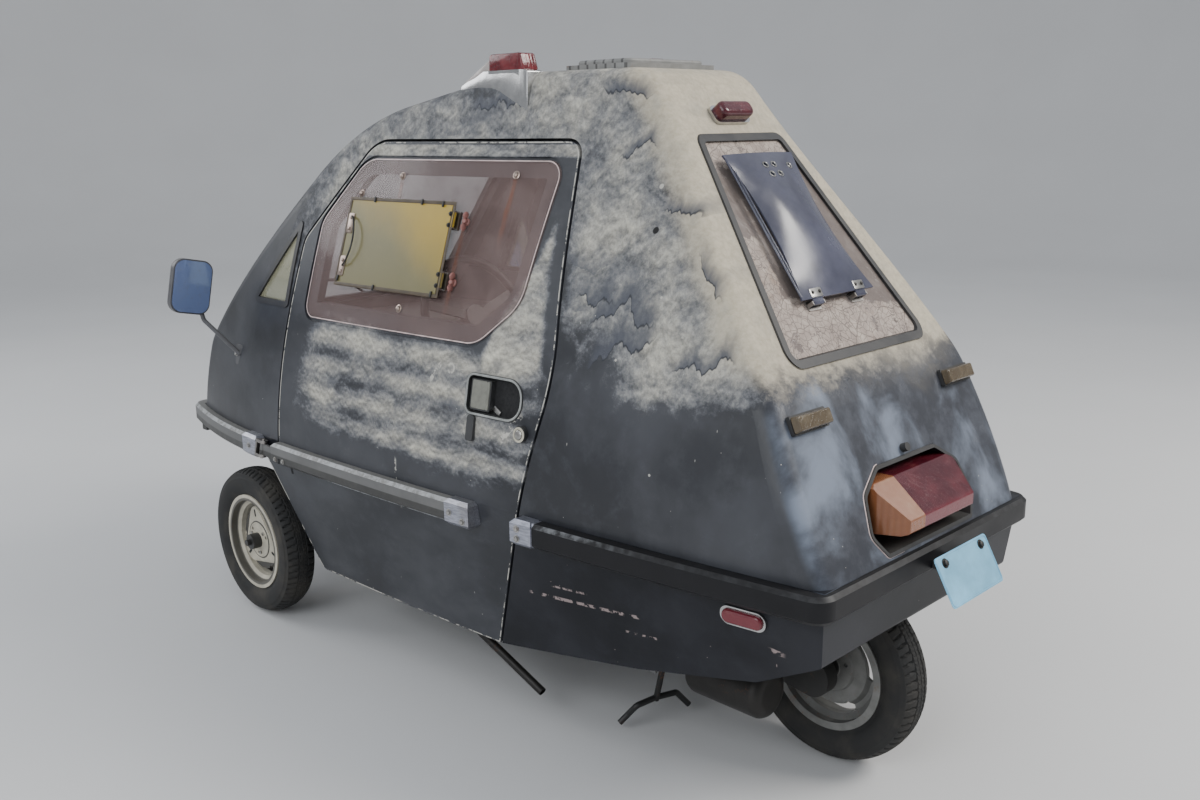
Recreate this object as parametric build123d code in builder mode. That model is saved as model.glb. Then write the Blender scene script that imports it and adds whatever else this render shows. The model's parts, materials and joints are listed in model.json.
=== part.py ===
"""Three-wheeled single-seat microcar with a moulded plastic body.

Millimetres. X points to the car's left, Y to the rear and Z up. The origin is on the ground
below the middle of the car's length and width.
"""
import os
from math import cos, radians, sin, sqrt

from build123d import *

os.makedirs("parts", exist_ok=True)

# Running gear
wheelbase = 1635
rear_axle_y = 862
front_axle_y = rear_axle_y - wheelbase
front_half_track = 454
tyre_radius = 211
tyre_width = 92
rim_radius = 137
rim_width = 78
bead_clearance = 0.3
axle_height = tyre_radius
hub_bore = 10
axle_pin_clearance = 0.05
kingpin_x = 372
kingpin_radius = 8
kingpin_boss_radius = 17
kingpin_boss_height = 72
knuckle_gap = 0.5
beam_radius = 20
beam_drop = 20

# Moulded body: heights of the waist, of the soft crease above it and of the crown of the sides
waist_z = 550
crease_z = 850
roof_z = 1475
crown_z = roof_z + 25
sill_z = 180
wall = 28
floor_thickness = 20
seal_gap = 0.3
door_gap = 6
widest_y = -598
block_length = 1300
ridge_radius = 48

# Body sections: height, half width at the widest place, radius of the side behind it and ahead of it
waist_section = (waist_z, 500, 11280, 1950)
upper_sections = [
    waist_section,
    (crease_z, 463, 11280, 1950),
    (1175, 368, 7331, 1932),
    (crown_z, 273, 5430, 1915),
]
lower_sections = [
    (sill_z, 445, 11280, 1950),
    waist_section,
]

# Upper body seen from the side: y, z and corner radius
nose_foot = (-1130, waist_z)
nose_knee = (-1045, 770)
tail_foot = (1077, waist_z)
tail_knee = (938, 862)
brow_y = -421
brow_z = roof_z - 104
roof_front_y = 84
roof_rear_y = 468
foot_extension = 100
upper_profile = [
    (-1169, waist_z - foot_extension, 0),
    (nose_knee[0], nose_knee[1], 120),
    (brow_y, brow_z, 650),
    (roof_front_y, roof_z, 900),
    (roof_rear_y, roof_z, 120),
    (tail_knee[0], tail_knee[1], 300),
    (1122, waist_z - foot_extension, 0),
]

# Lower body seen from the side: y, z and corner radius
nose_bottom_z = 492
floor_z = 198
jacking_pan = (300, -400, 190, 4)
arch_top_y = -655
arch_bottom_y = -470
lower_profile = [
    (-1128, waist_z, 0),
    (-1118, nose_bottom_z, 0),
    (arch_top_y, nose_bottom_z, 0),
    (arch_bottom_y, floor_z, 30),
    (231, floor_z, 0),
    (640, 262, 0),
    (922, 322, 0),
    (1062, 394, 12),
    (1077, waist_z, 0),
]

# Door handle: its outline on the door, along the car and up, with corner radii
handle_outline = [(-87, -47, 22), (-87, 47, 22), (87, 47, 43), (87, -47, 43)]
handle_y = 270
handle_z = 790
handle_depth = 19
lock_y = 364
lock_z = 727

# Left door seen from the side: y, z and corner radius
door_top_z = roof_z - 150
door_outline = [
    (231, floor_z, 6),
    (352, 545, 0),
    (432, 850, 400),
    (347, door_top_z, 40),
    (-303, door_top_z, 110),
    (-524, 1082, 60),
    (-563, 545, 0),
    (-566, nose_bottom_z - 4, 3),
    (arch_top_y + 4, nose_bottom_z - 4, 3),
    (arch_bottom_y, floor_z, 30),
]
door_hinge_foot = (514, -618, 545)
door_hinge_rise = (-80, 40, 455)
door_fork_depth = 46
fork_ear = 8
door_barrel_radius = 8
door_pin_radius = 4

# Openings and panes: corner tables with a radius at each corner
windscreen_top_z = roof_z - 179
windscreen_outline = [
    (365, 838, 45), (282, windscreen_top_z, 45), (-282, windscreen_top_z, 45), (-365, 838, 45),
]
rear_window_top_z = roof_z - 138
rear_window_outline = [
    (250, 906, 30), (141, rear_window_top_z, 26), (-141, rear_window_top_z, 26), (-250, 906, 30),
]
quarter_top_z = roof_z - 333
quarter_outline = [(-738, 904, 14), (-544, quarter_top_z, 10), (-548, 904, 14)]
window_panel_top_z = roof_z - 190
window_panel_outline = [
    (-468, 890, 36),
    (-462, 1130, 60),
    (-325, window_panel_top_z, 90),
    (320, window_panel_top_z, 42),
    (300, 985, 90),
    (190, 892, 90),
]
gasket_width = 15
gasket_proud = 4
gasket_depth = 12
pane_thickness = 5
pane_recess = 2
window_panel_thickness = 5
window_panel_margin = 38
window_rebate = 6
window_rebate_margin = 7

# Rails around the waist
rail_top_z = 549
rail_height = 54
rail_depth = 25
band_depth = 30
rail_chamfer = 8
nose_rail_end_y = -640
door_rail_front_y = -566
door_rail_rear_y = 232
rail_cap_length = 78
rail_cap_proud = 3
band_front_y = 362
band_patch_length = 62
rail_corner_radius = 42

# Rear face
tail_lamp_outline = [
    (196, 600, 26),
    (176, 672, 26),
    (110, 712, 26),
    (-110, 712, 26),
    (-176, 672, 26),
    (-196, 600, 26),
    (-160, 556, 10),
    (160, 556, 10),
]
tail_lamp_liner = 7
cluster_plan = [(-150, 1036, 8), (-118, 1104, 12), (118, 1104, 12), (150, 1036, 8)]
cluster_top = (1022, 686)
cluster_rear = (1096, 624)
cluster_bottom_z = 592
cluster_split_x = 68
plate_size = (200, 100, 2)
plate_centre = (0, 1157, 507)
plate_tilt = 28.7
rear_lamp_size = (112, 38, 24)
rear_lamp_x = 271
rear_lamp_z = 822
marker_size = (98, 40, 14)
roof_lamp_x = 218
roof_lamp_y = 100
roof_lamp_height = 36
vent_front_y = 190
vent_rear_y = roof_rear_y - 68
vent_half_width = 150
vent_height = 22

# Rear flap over the window; its sections run up the flap: distance, half width and bulge
flap_sections = [(-0.5, 128, 1), (-0.08, 98, 20), (0.5, 118, 4)]
flap_holes = [(-14, 36), (14, 36), (-14, 62), (14, 62), (72, 38)]
flap_hinge_x = 76
flap_low_z = 1008
flap_high_z = roof_z - 191
flap_thickness = 4
flap_stand_off = 14

# Side flap over the left door's window
side_flap_length = 380
side_flap_height = 222
side_flap_thickness = 5
side_flap_stand_off = 8
hinge_width = 34
hinge_barrel_radius = 4.5
hinge_pin_radius = 2

# Cabin
seat_width = 430
seat_front_y = -110
seat_rear_y = 400
seat_frame_rear_y = 225
seat_base_z = 232
seat_top_z = 430
backrest_top_z = 960
dash_z = 770
dash_front_y = -1040
dash_rear_y = -660
bulkhead_y = 455
bulkhead_thickness = 20
toe_box_half_width = 245
toe_box_front_y = -965
toe_box_z = 228
shelf_z = 600
shelf_thickness = 14
shelf_rear_y = 945
column_foot = (0, -700, 700)
column_head = (0, -356, 836)
column_radius = 16
steering_wheel_radius = 165
steering_grip_radius = 12

# Mirrors
mirror_size = (112, 148, 30)
mirror_roll = 12
mirror_centre = (566, -845, 945)
mirror_foot = (472, -790, 752)
wiper_x = -150

rear_slope = (tail_knee[0] - roof_rear_y) / (roof_z - tail_knee[1])
tail_slope = (tail_foot[0] - tail_knee[0]) / (tail_knee[1] - tail_foot[1])
nose_slope = (nose_knee[0] - nose_foot[0]) / (nose_knee[1] - nose_foot[1])


def save(piece, label):
    """Names a finished piece and writes it out."""
    piece.label = label
    export_step(piece, "parts/" + label + ".step")


def save_group(pieces, label):
    """Writes like pieces that one body carries as one node."""
    save(Compound(children=[piece for piece in pieces]), label)


def side_drop(radius, distance):
    """How far a side has come in at a distance from the widest place."""
    return radius - sqrt(radius * radius - distance * distance)


def plan_outline(half_width, rear_radius, nose_radius):
    """A body section from above: two arcs a side that meet square to the widest place."""
    rear_y = block_length
    nose_y = -block_length
    rear_x = half_width - side_drop(rear_radius, rear_y - widest_y)
    nose_x = half_width - side_drop(nose_radius, nose_y - widest_y)
    with BuildSketch() as section:
        with BuildLine():
            Line((-nose_x, nose_y), (nose_x, nose_y))
            TangentArc((half_width, widest_y), (nose_x, nose_y), tangent=(0, -1))
            TangentArc((half_width, widest_y), (rear_x, rear_y), tangent=(0, 1))
            Line((rear_x, rear_y), (-rear_x, rear_y))
            TangentArc((-half_width, widest_y), (-rear_x, rear_y), tangent=(0, 1))
            TangentArc((-half_width, widest_y), (-nose_x, nose_y), tangent=(0, -1))
        make_face()
    return section.sketch


def outline(table, grow=0.0):
    """A closed outline from a corner table, grown all round."""
    with BuildSketch() as shape:
        with BuildLine():
            FilletPolyline(*[(a, b) for a, b, _ in table], radius=[r for _, _, r in table], close=True)
        make_face()
        if grow:
            offset(amount=grow, kind=Kind.INTERSECTION)
    return shape.sketch


def cross_prism(table, grow=0.0, start=150.0, end=700.0):
    """An outline seen from the side, carried out through the left side."""
    with BuildPart() as prism:
        with BuildSketch(Plane.YZ.offset(start)):
            add(outline(table, grow))
        extrude(amount=end - start)
    return prism.part


def long_prism(table, grow, front_y, rear_y):
    """An outline seen from the front, carried along the car from front_y to rear_y."""
    with BuildPart() as prism:
        with BuildSketch(Plane((0, front_y, 0), x_dir=(1, 0, 0), z_dir=(0, -1, 0))):
            add(outline(table, grow))
        extrude(amount=front_y - rear_y)
    return prism.part


def core(sections, grow=0.0, extension=0.0):
    """The sides of the body, longer than the car, grown outwards, with its foot moved down."""
    with BuildPart() as block:
        for index, (height, half_width, rear_radius, nose_radius) in enumerate(sections):
            lean = (sections[0][1] - sections[1][1]) / (sections[1][0] - sections[0][0])
            drop = extension if index == 0 else 0
            with BuildSketch(Plane.XY.offset(height - drop)):
                add(plan_outline(half_width + grow + drop * lean, rear_radius, nose_radius))
        loft()
    return block.part


def body_form(sections, profile, grow=0.0, extension=0.0):
    """The sides cut to the outline seen from the side."""
    with BuildPart() as form:
        add(core(sections, grow, extension))
        with BuildSketch(Plane.YZ):
            add(outline(profile, grow))
        extrude(amount=700, both=True, mode=Mode.INTERSECT)
    return form.part


def both_sides(piece):
    """A left-hand piece and its mirror image."""
    return [piece, mirror(piece, about=Plane.YZ, mode=Mode.PRIVATE)]


def slab(x0, x1, y0, y1, z0, z1):
    """A plain block between six limits."""
    with BuildPart() as block:
        with BuildSketch(Plane.XY.offset(z0)):
            with Locations(((x0 + x1) / 2, (y0 + y1) / 2)):
                Rectangle(x1 - x0, y1 - y0)
        extrude(amount=z1 - z0)
    return block.part


upper_core = core(upper_sections)


def side_x(y, z):
    """Half width of the upper body at a length and a height."""
    hits = upper_core.find_intersection_points(Axis((0, y, z), (1, 0, 0)))
    return max(point.X for point, _ in hits)


# Upper body
upper_outer = body_form(upper_sections, upper_profile)
with BuildPart() as rounded_upper:
    add(upper_outer)
    ridges = [
        edge
        for edge in rounded_upper.edges()
        if abs(edge.center().X) > 60
        and edge.center().Z > waist_z + 5
        and abs(edge.center().Y - widest_y) > 4
    ]
    fillet(ridges, radius=ridge_radius)

upper_core_inner = core(upper_sections, -wall, 60)
door_hole_core = core(upper_sections, -wall - door_gap, 60)
lower_core_inner = core(lower_sections, -wall, 60)
lower_hole_core = core(lower_sections, -wall - door_gap, 60)
door_prism = cross_prism(door_outline)
door_hole_prism = cross_prism(door_outline, door_gap)

with BuildPart() as upper_door_hole:
    add(door_hole_prism)
    add(door_hole_core, mode=Mode.SUBTRACT)
with BuildPart() as lower_door_hole:
    add(door_hole_prism)
    add(lower_hole_core, mode=Mode.SUBTRACT)
    add(slab(0, 900, -1300, 1300, waist_z, 1600), mode=Mode.SUBTRACT)

with BuildPart() as upper_body:
    add(rounded_upper.part)
    add(body_form(upper_sections, upper_profile, -wall, 60), mode=Mode.SUBTRACT)
    for hole in both_sides(upper_door_hole.part):
        add(hole, mode=Mode.SUBTRACT)
    for hole in both_sides(cross_prism(quarter_outline)):
        add(hole, mode=Mode.SUBTRACT)
    add(long_prism(windscreen_outline, 0, -1300, -250), mode=Mode.SUBTRACT)
    add(long_prism(rear_window_outline, 0, 300, 1300), mode=Mode.SUBTRACT)
    add(long_prism(tail_lamp_outline, 0, 700, 1300), mode=Mode.SUBTRACT)
save(upper_body.part, "upper_body")



def tub_room(gap=0.0):
    """The room inside the tub's walls and floor, up past the waist, less a gap all round."""
    with BuildPart() as room:
        add(core(lower_sections, -wall - gap, 60))
        with BuildSketch(Plane.YZ):
            table = [(y, z + 60 if z == waist_z else z, r) for y, z, r in lower_profile]
            add(outline(table, -floor_thickness - gap))
        extrude(amount=700, both=True, mode=Mode.INTERSECT)
    return room.part


# Lower body: tub with its arch wall, floor, pressed jacking pan and toe box
with BuildPart() as lower_body:
    add(body_form(lower_sections, lower_profile))
    pan_half, pan_front_y, pan_rear_y, pan_depth = jacking_pan
    add(slab(-pan_half, pan_half, pan_front_y, pan_rear_y, floor_z - pan_depth, floor_z + 1))
    add(slab(-toe_box_half_width, toe_box_half_width, toe_box_front_y, -560, toe_box_z, 520))
    add(tub_room(), mode=Mode.SUBTRACT)
    add(slab(
        -toe_box_half_width + floor_thickness, toe_box_half_width - floor_thickness,
        toe_box_front_y + floor_thickness, -440, toe_box_z + floor_thickness, 560,
    ), mode=Mode.SUBTRACT)
    add(slab(-300, 300, bulkhead_y + bulkhead_thickness, 1025, 150, 420), mode=Mode.SUBTRACT)
    for hole in both_sides(lower_door_hole.part):
        add(hole, mode=Mode.SUBTRACT)
save(lower_body.part, "lower_body")

# Parcel shelf behind the seat, with the bulkhead that closes off the engine bay
bulkhead_rear_y = bulkhead_y + bulkhead_thickness
with BuildPart() as bulkhead:
    add(slab(-420, 420, bulkhead_y, bulkhead_rear_y, 200, waist_z))
    add(tub_room(seal_gap), mode=Mode.INTERSECT)
with BuildPart() as parcel_shelf:
    add(slab(-460, 460, bulkhead_y, shelf_rear_y, waist_z, shelf_z + shelf_thickness))
    add(slab(-470, 470, bulkhead_rear_y, 1100, waist_z - 1, shelf_z), mode=Mode.SUBTRACT)
    add(body_form(upper_sections, upper_profile, -wall - seal_gap, 60), mode=Mode.INTERSECT)
    add(bulkhead.part)
save(parcel_shelf.part, "parcel_shelf")

# Doors: one panel a side from roof to sill, with the window and the handle's pocket cut


def side_plane(y, z):
    """A plane that touches the left side of the upper body, with its own x towards the rear."""
    span = 40
    run = Vector(side_x(y + span, z) - side_x(y - span, z), 2 * span, 0).normalized()
    rise = Vector(side_x(y, z + span) - side_x(y, z - span), 0, 2 * span).normalized()
    return Plane(Vector(side_x(y, z), y, z), x_dir=run, z_dir=run.cross(rise))


handle_plane = side_plane(handle_y, handle_z)
with BuildPart() as handle_pocket:
    with BuildSketch(handle_plane.offset(-handle_depth - seal_gap)):
        add(outline(handle_outline))
    extrude(amount=60)
with BuildPart() as window_rebate_cut:
    add(cross_prism(window_panel_outline, window_rebate_margin))
    add(core(upper_sections, -window_rebate, 60), mode=Mode.SUBTRACT)
window_prism = cross_prism(window_panel_outline, -window_panel_margin)
with BuildPart() as upper_door:
    add(upper_outer)
    add(door_prism, mode=Mode.INTERSECT)
    add(upper_core_inner, mode=Mode.SUBTRACT)
    add(window_prism, mode=Mode.SUBTRACT)
    add(window_rebate_cut.part, mode=Mode.SUBTRACT)
    add(handle_pocket.part, mode=Mode.SUBTRACT)
with BuildPart() as door_left:
    add(body_form(lower_sections, lower_profile))
    add(door_prism, mode=Mode.INTERSECT)
    add(lower_core_inner, mode=Mode.SUBTRACT)
    add(upper_door.part)
save(door_left.part, "door_left")
door_right = mirror(door_left.part, about=Plane.YZ)
save(door_right, "door_right")

# Tinted panel screwed into the rebate round each door's window
panel_inner = seal_gap - window_rebate
panel_outer = panel_inner + window_panel_thickness
with BuildPart() as window_panel:
    add(cross_prism(window_panel_outline))
    add(core(upper_sections, panel_outer, 60), mode=Mode.INTERSECT)
    add(core(upper_sections, panel_inner, 60), mode=Mode.SUBTRACT)
save(window_panel.part, "window_left")
save(mirror(window_panel.part, about=Plane.YZ), "window_right")


def glazing(table, front_y, rear_y):
    """A gasket and its flat pane, in an opening seen from the front."""
    with BuildPart() as gasket:
        add(long_prism(table, -seal_gap, front_y, rear_y))
        add(long_prism(table, -gasket_width, front_y, rear_y), mode=Mode.SUBTRACT)
        add(body_form(upper_sections, upper_profile, gasket_proud), mode=Mode.INTERSECT)
        add(body_form(upper_sections, upper_profile, -gasket_depth, 60), mode=Mode.SUBTRACT)
    with BuildPart() as pane:
        add(long_prism(table, -gasket_width - seal_gap, front_y, rear_y))
        add(body_form(upper_sections, upper_profile, -pane_recess), mode=Mode.INTERSECT)
        inner = -pane_recess - pane_thickness
        add(body_form(upper_sections, upper_profile, inner, 60), mode=Mode.SUBTRACT)
    return gasket.part, pane.part


windscreen_gasket, windscreen = glazing(windscreen_outline, -1300, -250)
rear_gasket, rear_pane = glazing(rear_window_outline, 300, 1300)
save(windscreen, "windscreen")
save(rear_pane, "rear_window")

with BuildPart() as quarter_gasket:
    add(cross_prism(quarter_outline, -seal_gap))
    add(cross_prism(quarter_outline, -gasket_width), mode=Mode.SUBTRACT)
    add(core(upper_sections, gasket_proud), mode=Mode.INTERSECT)
    add(core(upper_sections, -gasket_depth, 60), mode=Mode.SUBTRACT)
with BuildPart() as quarter_pane:
    add(cross_prism(quarter_outline, -gasket_width - seal_gap))
    add(core(upper_sections, -pane_recess), mode=Mode.INTERSECT)
    add(core(upper_sections, -pane_recess - pane_thickness, 60), mode=Mode.SUBTRACT)
save_group([windscreen_gasket, rear_gasket] + both_sides(quarter_gasket.part), "window_gaskets")
save_group(both_sides(quarter_pane.part), "quarter_panes")


def rail_block(depth, y0, y1, top, height):
    """The waist section grown outwards, between two lengths, with its long edges chamfered."""
    with BuildPart() as block:
        with BuildSketch(Plane.XY.offset(top - height)):
            add(plan_outline(waist_section[1] + depth, waist_section[2], waist_section[3]))
            with Locations((0, (y0 + y1) / 2)):
                Rectangle(1400, y1 - y0, mode=Mode.INTERSECT)
            corners = [v for v in vertices() if abs(v.Y - widest_y) > 1]
            outer = [v for v in corners if abs(v.Y) > 1000]
            if outer:
                fillet(outer, radius=rail_corner_radius)
        extrude(amount=height)
        chamfer(block.faces().sort_by(Axis.Z)[-1].edges(), length=rail_chamfer)
        chamfer(block.faces().sort_by(Axis.Z)[0].edges(), length=rail_chamfer)
    return block.part


# Rails: the nose rail, the rail on each door with its pale end cap, and the dark band round the tail
nose_front_y = -1182.8
tail_rear_y = tail_foot[0] + 18
body_cutter_lower = body_form(
    lower_sections, [(y, z - 60 if z == nose_bottom_z else z, r) for y, z, r in lower_profile[:2]]
    + [(arch_top_y, 100, 0)] + [(1062, 100, 0), (1077, waist_z, 0)], seal_gap,
)


def waist_rail(depth, y0, y1, lap=0.0):
    """A rail, or a cap that laps over one, that wraps the body's waist between two lengths."""
    with BuildPart() as ring:
        add(rail_block(depth + lap, y0, y1, rail_top_z + lap, rail_height + 2 * lap))
        if lap:
            add(body_form(upper_sections, upper_profile, seal_gap), mode=Mode.SUBTRACT)
        add(body_cutter_lower, mode=Mode.SUBTRACT)
    return ring.part


with BuildPart() as nose_rail:
    add(waist_rail(rail_depth, nose_front_y, nose_rail_end_y))
    add(waist_rail(rail_depth, nose_rail_end_y - rail_cap_length, nose_rail_end_y, rail_cap_proud))
    for x0, x1 in ((-430, -370), (370, 430)):
        add(slab(x0, x1, -1150, -1124, rail_top_z - rail_height - 30, rail_top_z - rail_height + 6))
save(nose_rail.part, "nose_rail")
with BuildPart() as rear_band:
    add(waist_rail(band_depth, band_front_y, tail_rear_y))
    add(waist_rail(band_depth, band_front_y + 2, band_front_y + band_patch_length, 2))
    add(slab(-118, -82, tail_rear_y - 8, tail_rear_y + 22, rail_top_z - rail_height - 40, rail_top_z - rail_height + 8))
    with BuildSketch(Plane((-60, tail_rear_y + 8, rail_top_z - rail_height - 20), z_dir=(-1, 0, 0))):
        Circle(8)
    extrude(amount=80, mode=Mode.SUBTRACT)
save(rear_band.part, "rear_band")
with BuildPart() as door_strip:
    add(waist_rail(rail_depth, door_rail_front_y, door_rail_rear_y - seal_gap))
    add(waist_rail(rail_depth, door_rail_rear_y - rail_cap_length, door_rail_rear_y - seal_gap, rail_cap_proud))

# Door hinges: a fork on the nose rail's end, and a tongue from the door's rail that turns on its pin
hinge_rise = Vector(door_hinge_rise).normalized()
hinge_plane = Plane(door_hinge_foot, x_dir=(1, 0, hinge_rise.X / -hinge_rise.Z), z_dir=hinge_rise)
with BuildPart() as door_fork:
    for low, high in ((-door_fork_depth, -door_fork_depth + fork_ear), (-fork_ear, 0)):
        with BuildSketch(hinge_plane.offset(low)):
            Circle(door_barrel_radius + 4)
            with Locations((0, -18)):
                Rectangle(2 * door_barrel_radius + 8, 36)
        extrude(amount=high - low)
    with BuildSketch(hinge_plane.offset(-door_fork_depth)):
        with Locations((0, -door_barrel_radius - 18)):
            Rectangle(2 * door_barrel_radius + 8, 24)
    extrude(amount=door_fork_depth)
    with BuildSketch(hinge_plane.offset(-door_fork_depth - 4)):
        Circle(door_pin_radius)
    extrude(amount=door_fork_depth + 8)
    add(slab(400, 600, nose_rail_end_y - 60, nose_rail_end_y + seal_gap, 440, 600), mode=Mode.SUBTRACT)
    add(body_cutter_lower, mode=Mode.SUBTRACT)
    add(body_form(upper_sections, upper_profile, seal_gap), mode=Mode.SUBTRACT)
with BuildPart() as door_tongue:
    with BuildSketch(hinge_plane.offset(-door_fork_depth + fork_ear + knuckle_gap)):
        Circle(door_barrel_radius)
        with Locations((0, 34)):
            Rectangle(8, 68)
    extrude(amount=door_fork_depth - 2 * fork_ear - 2 * knuckle_gap)
    with BuildSketch(hinge_plane.offset(-door_fork_depth)):
        Circle(door_pin_radius + axle_pin_clearance)
    extrude(amount=door_fork_depth, mode=Mode.SUBTRACT)
with BuildPart() as door_rail:
    add(door_strip.part)
    add(slab(-700, 0, -700, 700, 400, 600), mode=Mode.SUBTRACT)
    add(door_tongue.part)
save(door_rail.part, "door_rail_left")
save(mirror(door_rail.part, about=Plane.YZ), "door_rail_right")


def turned(piece, origin, x_axis, normal):
    """Stands a piece, drawn flat about its own origin, on a plane of the car."""
    return piece.moved(Plane(origin, x_dir=x_axis, z_dir=normal).location)


def box_on(origin, x_axis, normal, size, lift=0.0, corner=0.0):
    """A block whose base centre lies on a plane of the car, with its upright edges rounded."""
    with BuildPart() as block:
        with BuildSketch(Plane.XY.offset(lift)):
            if corner:
                RectangleRounded(size[0], size[1], corner)
            else:
                Rectangle(size[0], size[1])
        extrude(amount=size[2])
    return turned(block.part, origin, x_axis, normal)


def disc_on(origin, x_axis, normal, radius, height, lift=0.0, hollow=0.0):
    """A round piece whose base centre lies on a plane of the car."""
    with BuildPart() as disc:
        with BuildSketch(Plane.XY.offset(lift)):
            Circle(radius)
            if hollow:
                Circle(hollow, mode=Mode.SUBTRACT)
        extrude(amount=height)
    return turned(disc.part, origin, x_axis, normal)


def rod(points, radius, bend, bore=0.0):
    """A round bar or tube along straight runs joined by arcs."""
    with BuildPart() as bar:
        with BuildLine() as path:
            if len(points) > 2:
                FilletPolyline(*points, radius=bend)
            else:
                Line(points[0], points[1])
        with BuildSketch(Plane(origin=path.line @ 0, z_dir=path.line % 0)):
            Circle(radius)
            if bore:
                Circle(bore, mode=Mode.SUBTRACT)
        sweep()
    return bar.part


# Wheels
def tyre_part():
    """A tyre about the X axis: beads between the rim's lips, bulged walls and a crowned tread."""
    half = tyre_width / 2
    bead = rim_width / 2 - 5
    wall_points = [
        (bead, rim_radius - 12 + bead_clearance), (bead, rim_radius + 2), (half - 1, 158), (half, 176),
        (half - 4, 194), (half - 13, tyre_radius - 4), (half - 31, tyre_radius),
    ]
    with BuildPart() as tyre:
        with BuildSketch():
            with BuildLine():
                Polyline(*wall_points, *[(-x, r) for x, r in reversed(wall_points)], close=True)
            make_face()
        revolve(axis=Axis.X)
    return tyre.part


def rim_part(hub_length, cap_length):
    """A drop-centre rim about the X axis, with its three-armed disc, drum, hub and cap."""
    half = rim_width / 2
    seat = rim_radius - 12
    sheet = 4.7
    well = seat - 13
    hub_end = 20
    disc_radius = 97
    with BuildPart() as rim:
        with BuildSketch():
            with BuildLine():
                Polyline(
                    (-half, seat - sheet), (-half, rim_radius), (-half + sheet, rim_radius), (-half + sheet, seat),
                    (-20, seat), (-12, well), (12, well), (20, seat), (half - sheet, seat),
                    (half - sheet, rim_radius), (half, rim_radius), (half, seat - sheet), (22, seat - sheet),
                    (14, well - sheet), (-14, well - sheet), (-22, seat - sheet), close=True,
                )
            make_face()
            with BuildLine():
                Polyline(
                    (3, well - 3), (3, 95), (12, 86), (12, 58), (18, 54), (18, 26), (hub_end, 22),
                    (hub_end, hub_bore), (hub_end - hub_length, hub_bore), (hub_end - hub_length, 24), (-24, 24),
                    (-24, 60), (6, 60), (6, 80), (-3, 91), (-3, well - 3), close=True,
                )
            make_face()
        revolve(axis=Axis.X)
        with BuildSketch(Plane.YZ.offset(-9)):
            for arm in range(3):
                SlotArc(CenterArc((0, 0), disc_radius, 120 * arm - 30, 60), 19)
            with PolarLocations(disc_radius - 2, 3, start_angle=60):
                SlotOverall(26, 10)
        extrude(amount=30, mode=Mode.SUBTRACT)
        with BuildSketch(Plane.YZ.offset(12)):
            with PolarLocations(42, 3, start_angle=20):
                Circle(5)
        extrude(amount=20, mode=Mode.SUBTRACT)
        if cap_length:
            for radius, start, length in ((22, hub_end, cap_length), (9, hub_end + cap_length, 12)):
                with BuildSketch(Plane.YZ.offset(start)):
                    Circle(radius)
                extrude(amount=length)
    return rim.part


tyre = tyre_part()
front_rim = rim_part(46, 26)
rear_rim = rim_part(54, 0)
wheel_places = [
    ("front_left", front_rim, 1, (front_half_track, front_axle_y, axle_height)),
    ("front_right", front_rim, -1, (-front_half_track, front_axle_y, axle_height)),
    ("rear", rear_rim, 1, (0, rear_axle_y, axle_height)),
]
for place, rim, side, centre in wheel_places:
    shaped = rim if side > 0 else mirror(rim, about=Plane.YZ)
    save(tyre.moved(Location(centre)), "tyre_" + place)
    save(shaped.moved(Location(centre)), "rim_" + place)

# Front axle: a tube below the toe box with a boss for each kingpin
beam_z = axle_height - beam_drop
with BuildPart() as front_axle:
    with BuildSketch(Plane((-335, front_axle_y, beam_z), z_dir=(1, 0, 0))):
        Circle(beam_radius)
    extrude(amount=670)
    for side in (-1, 1):
        with BuildSketch(Plane((side * 330, front_axle_y, beam_z), z_dir=(side, 0, 0))):
            Circle(13)
        extrude(amount=kingpin_x - 330)
        with BuildSketch(Plane.XY.offset(axle_height - kingpin_boss_height / 2)):
            with Locations((side * kingpin_x, front_axle_y)):
                Circle(kingpin_boss_radius)
        extrude(amount=kingpin_boss_height)
        with BuildSketch(Plane.XY.offset(beam_z)):
            with Locations((side * 180, front_axle_y)):
                Rectangle(44, 60)
        extrude(amount=toe_box_z - beam_z)
    with BuildSketch(Plane.XY.offset(100)):
        with Locations((-kingpin_x, front_axle_y), (kingpin_x, front_axle_y)):
            Circle(kingpin_radius + axle_pin_clearance)
    extrude(amount=250, mode=Mode.SUBTRACT)
save(front_axle.part, "front_axle")

# Knuckles: two ears round the kingpin, an upright plate and the stub axle
ear_z = kingpin_boss_height / 2 + knuckle_gap
with BuildPart() as knuckle:
    for low in (-ear_z - 12, ear_z):
        with BuildSketch(Plane((kingpin_x, front_axle_y, axle_height + low))):
            Circle(kingpin_boss_radius)
            with Locations((18, 0)):
                Rectangle(36, 2 * kingpin_boss_radius)
        extrude(amount=12)
    with BuildSketch(Plane((kingpin_x + 24, front_axle_y, axle_height), x_dir=(0, 1, 0), z_dir=(1, 0, 0))):
        Rectangle(2 * kingpin_boss_radius, 2 * ear_z + 24)
    extrude(amount=14)
    with BuildSketch(Plane((kingpin_x, front_axle_y, axle_height - ear_z - 12))):
        Circle(kingpin_radius)
    extrude(amount=2 * ear_z + 24)
    with BuildSketch(Plane((kingpin_x + 38, front_axle_y, axle_height), x_dir=(0, 1, 0), z_dir=(1, 0, 0))):
        Circle(hub_bore - axle_pin_clearance)
    extrude(amount=front_half_track + 19 - kingpin_x - 38)
save(knuckle.part, "knuckle_left")
save(mirror(knuckle.part, about=Plane.YZ), "knuckle_right")

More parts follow.
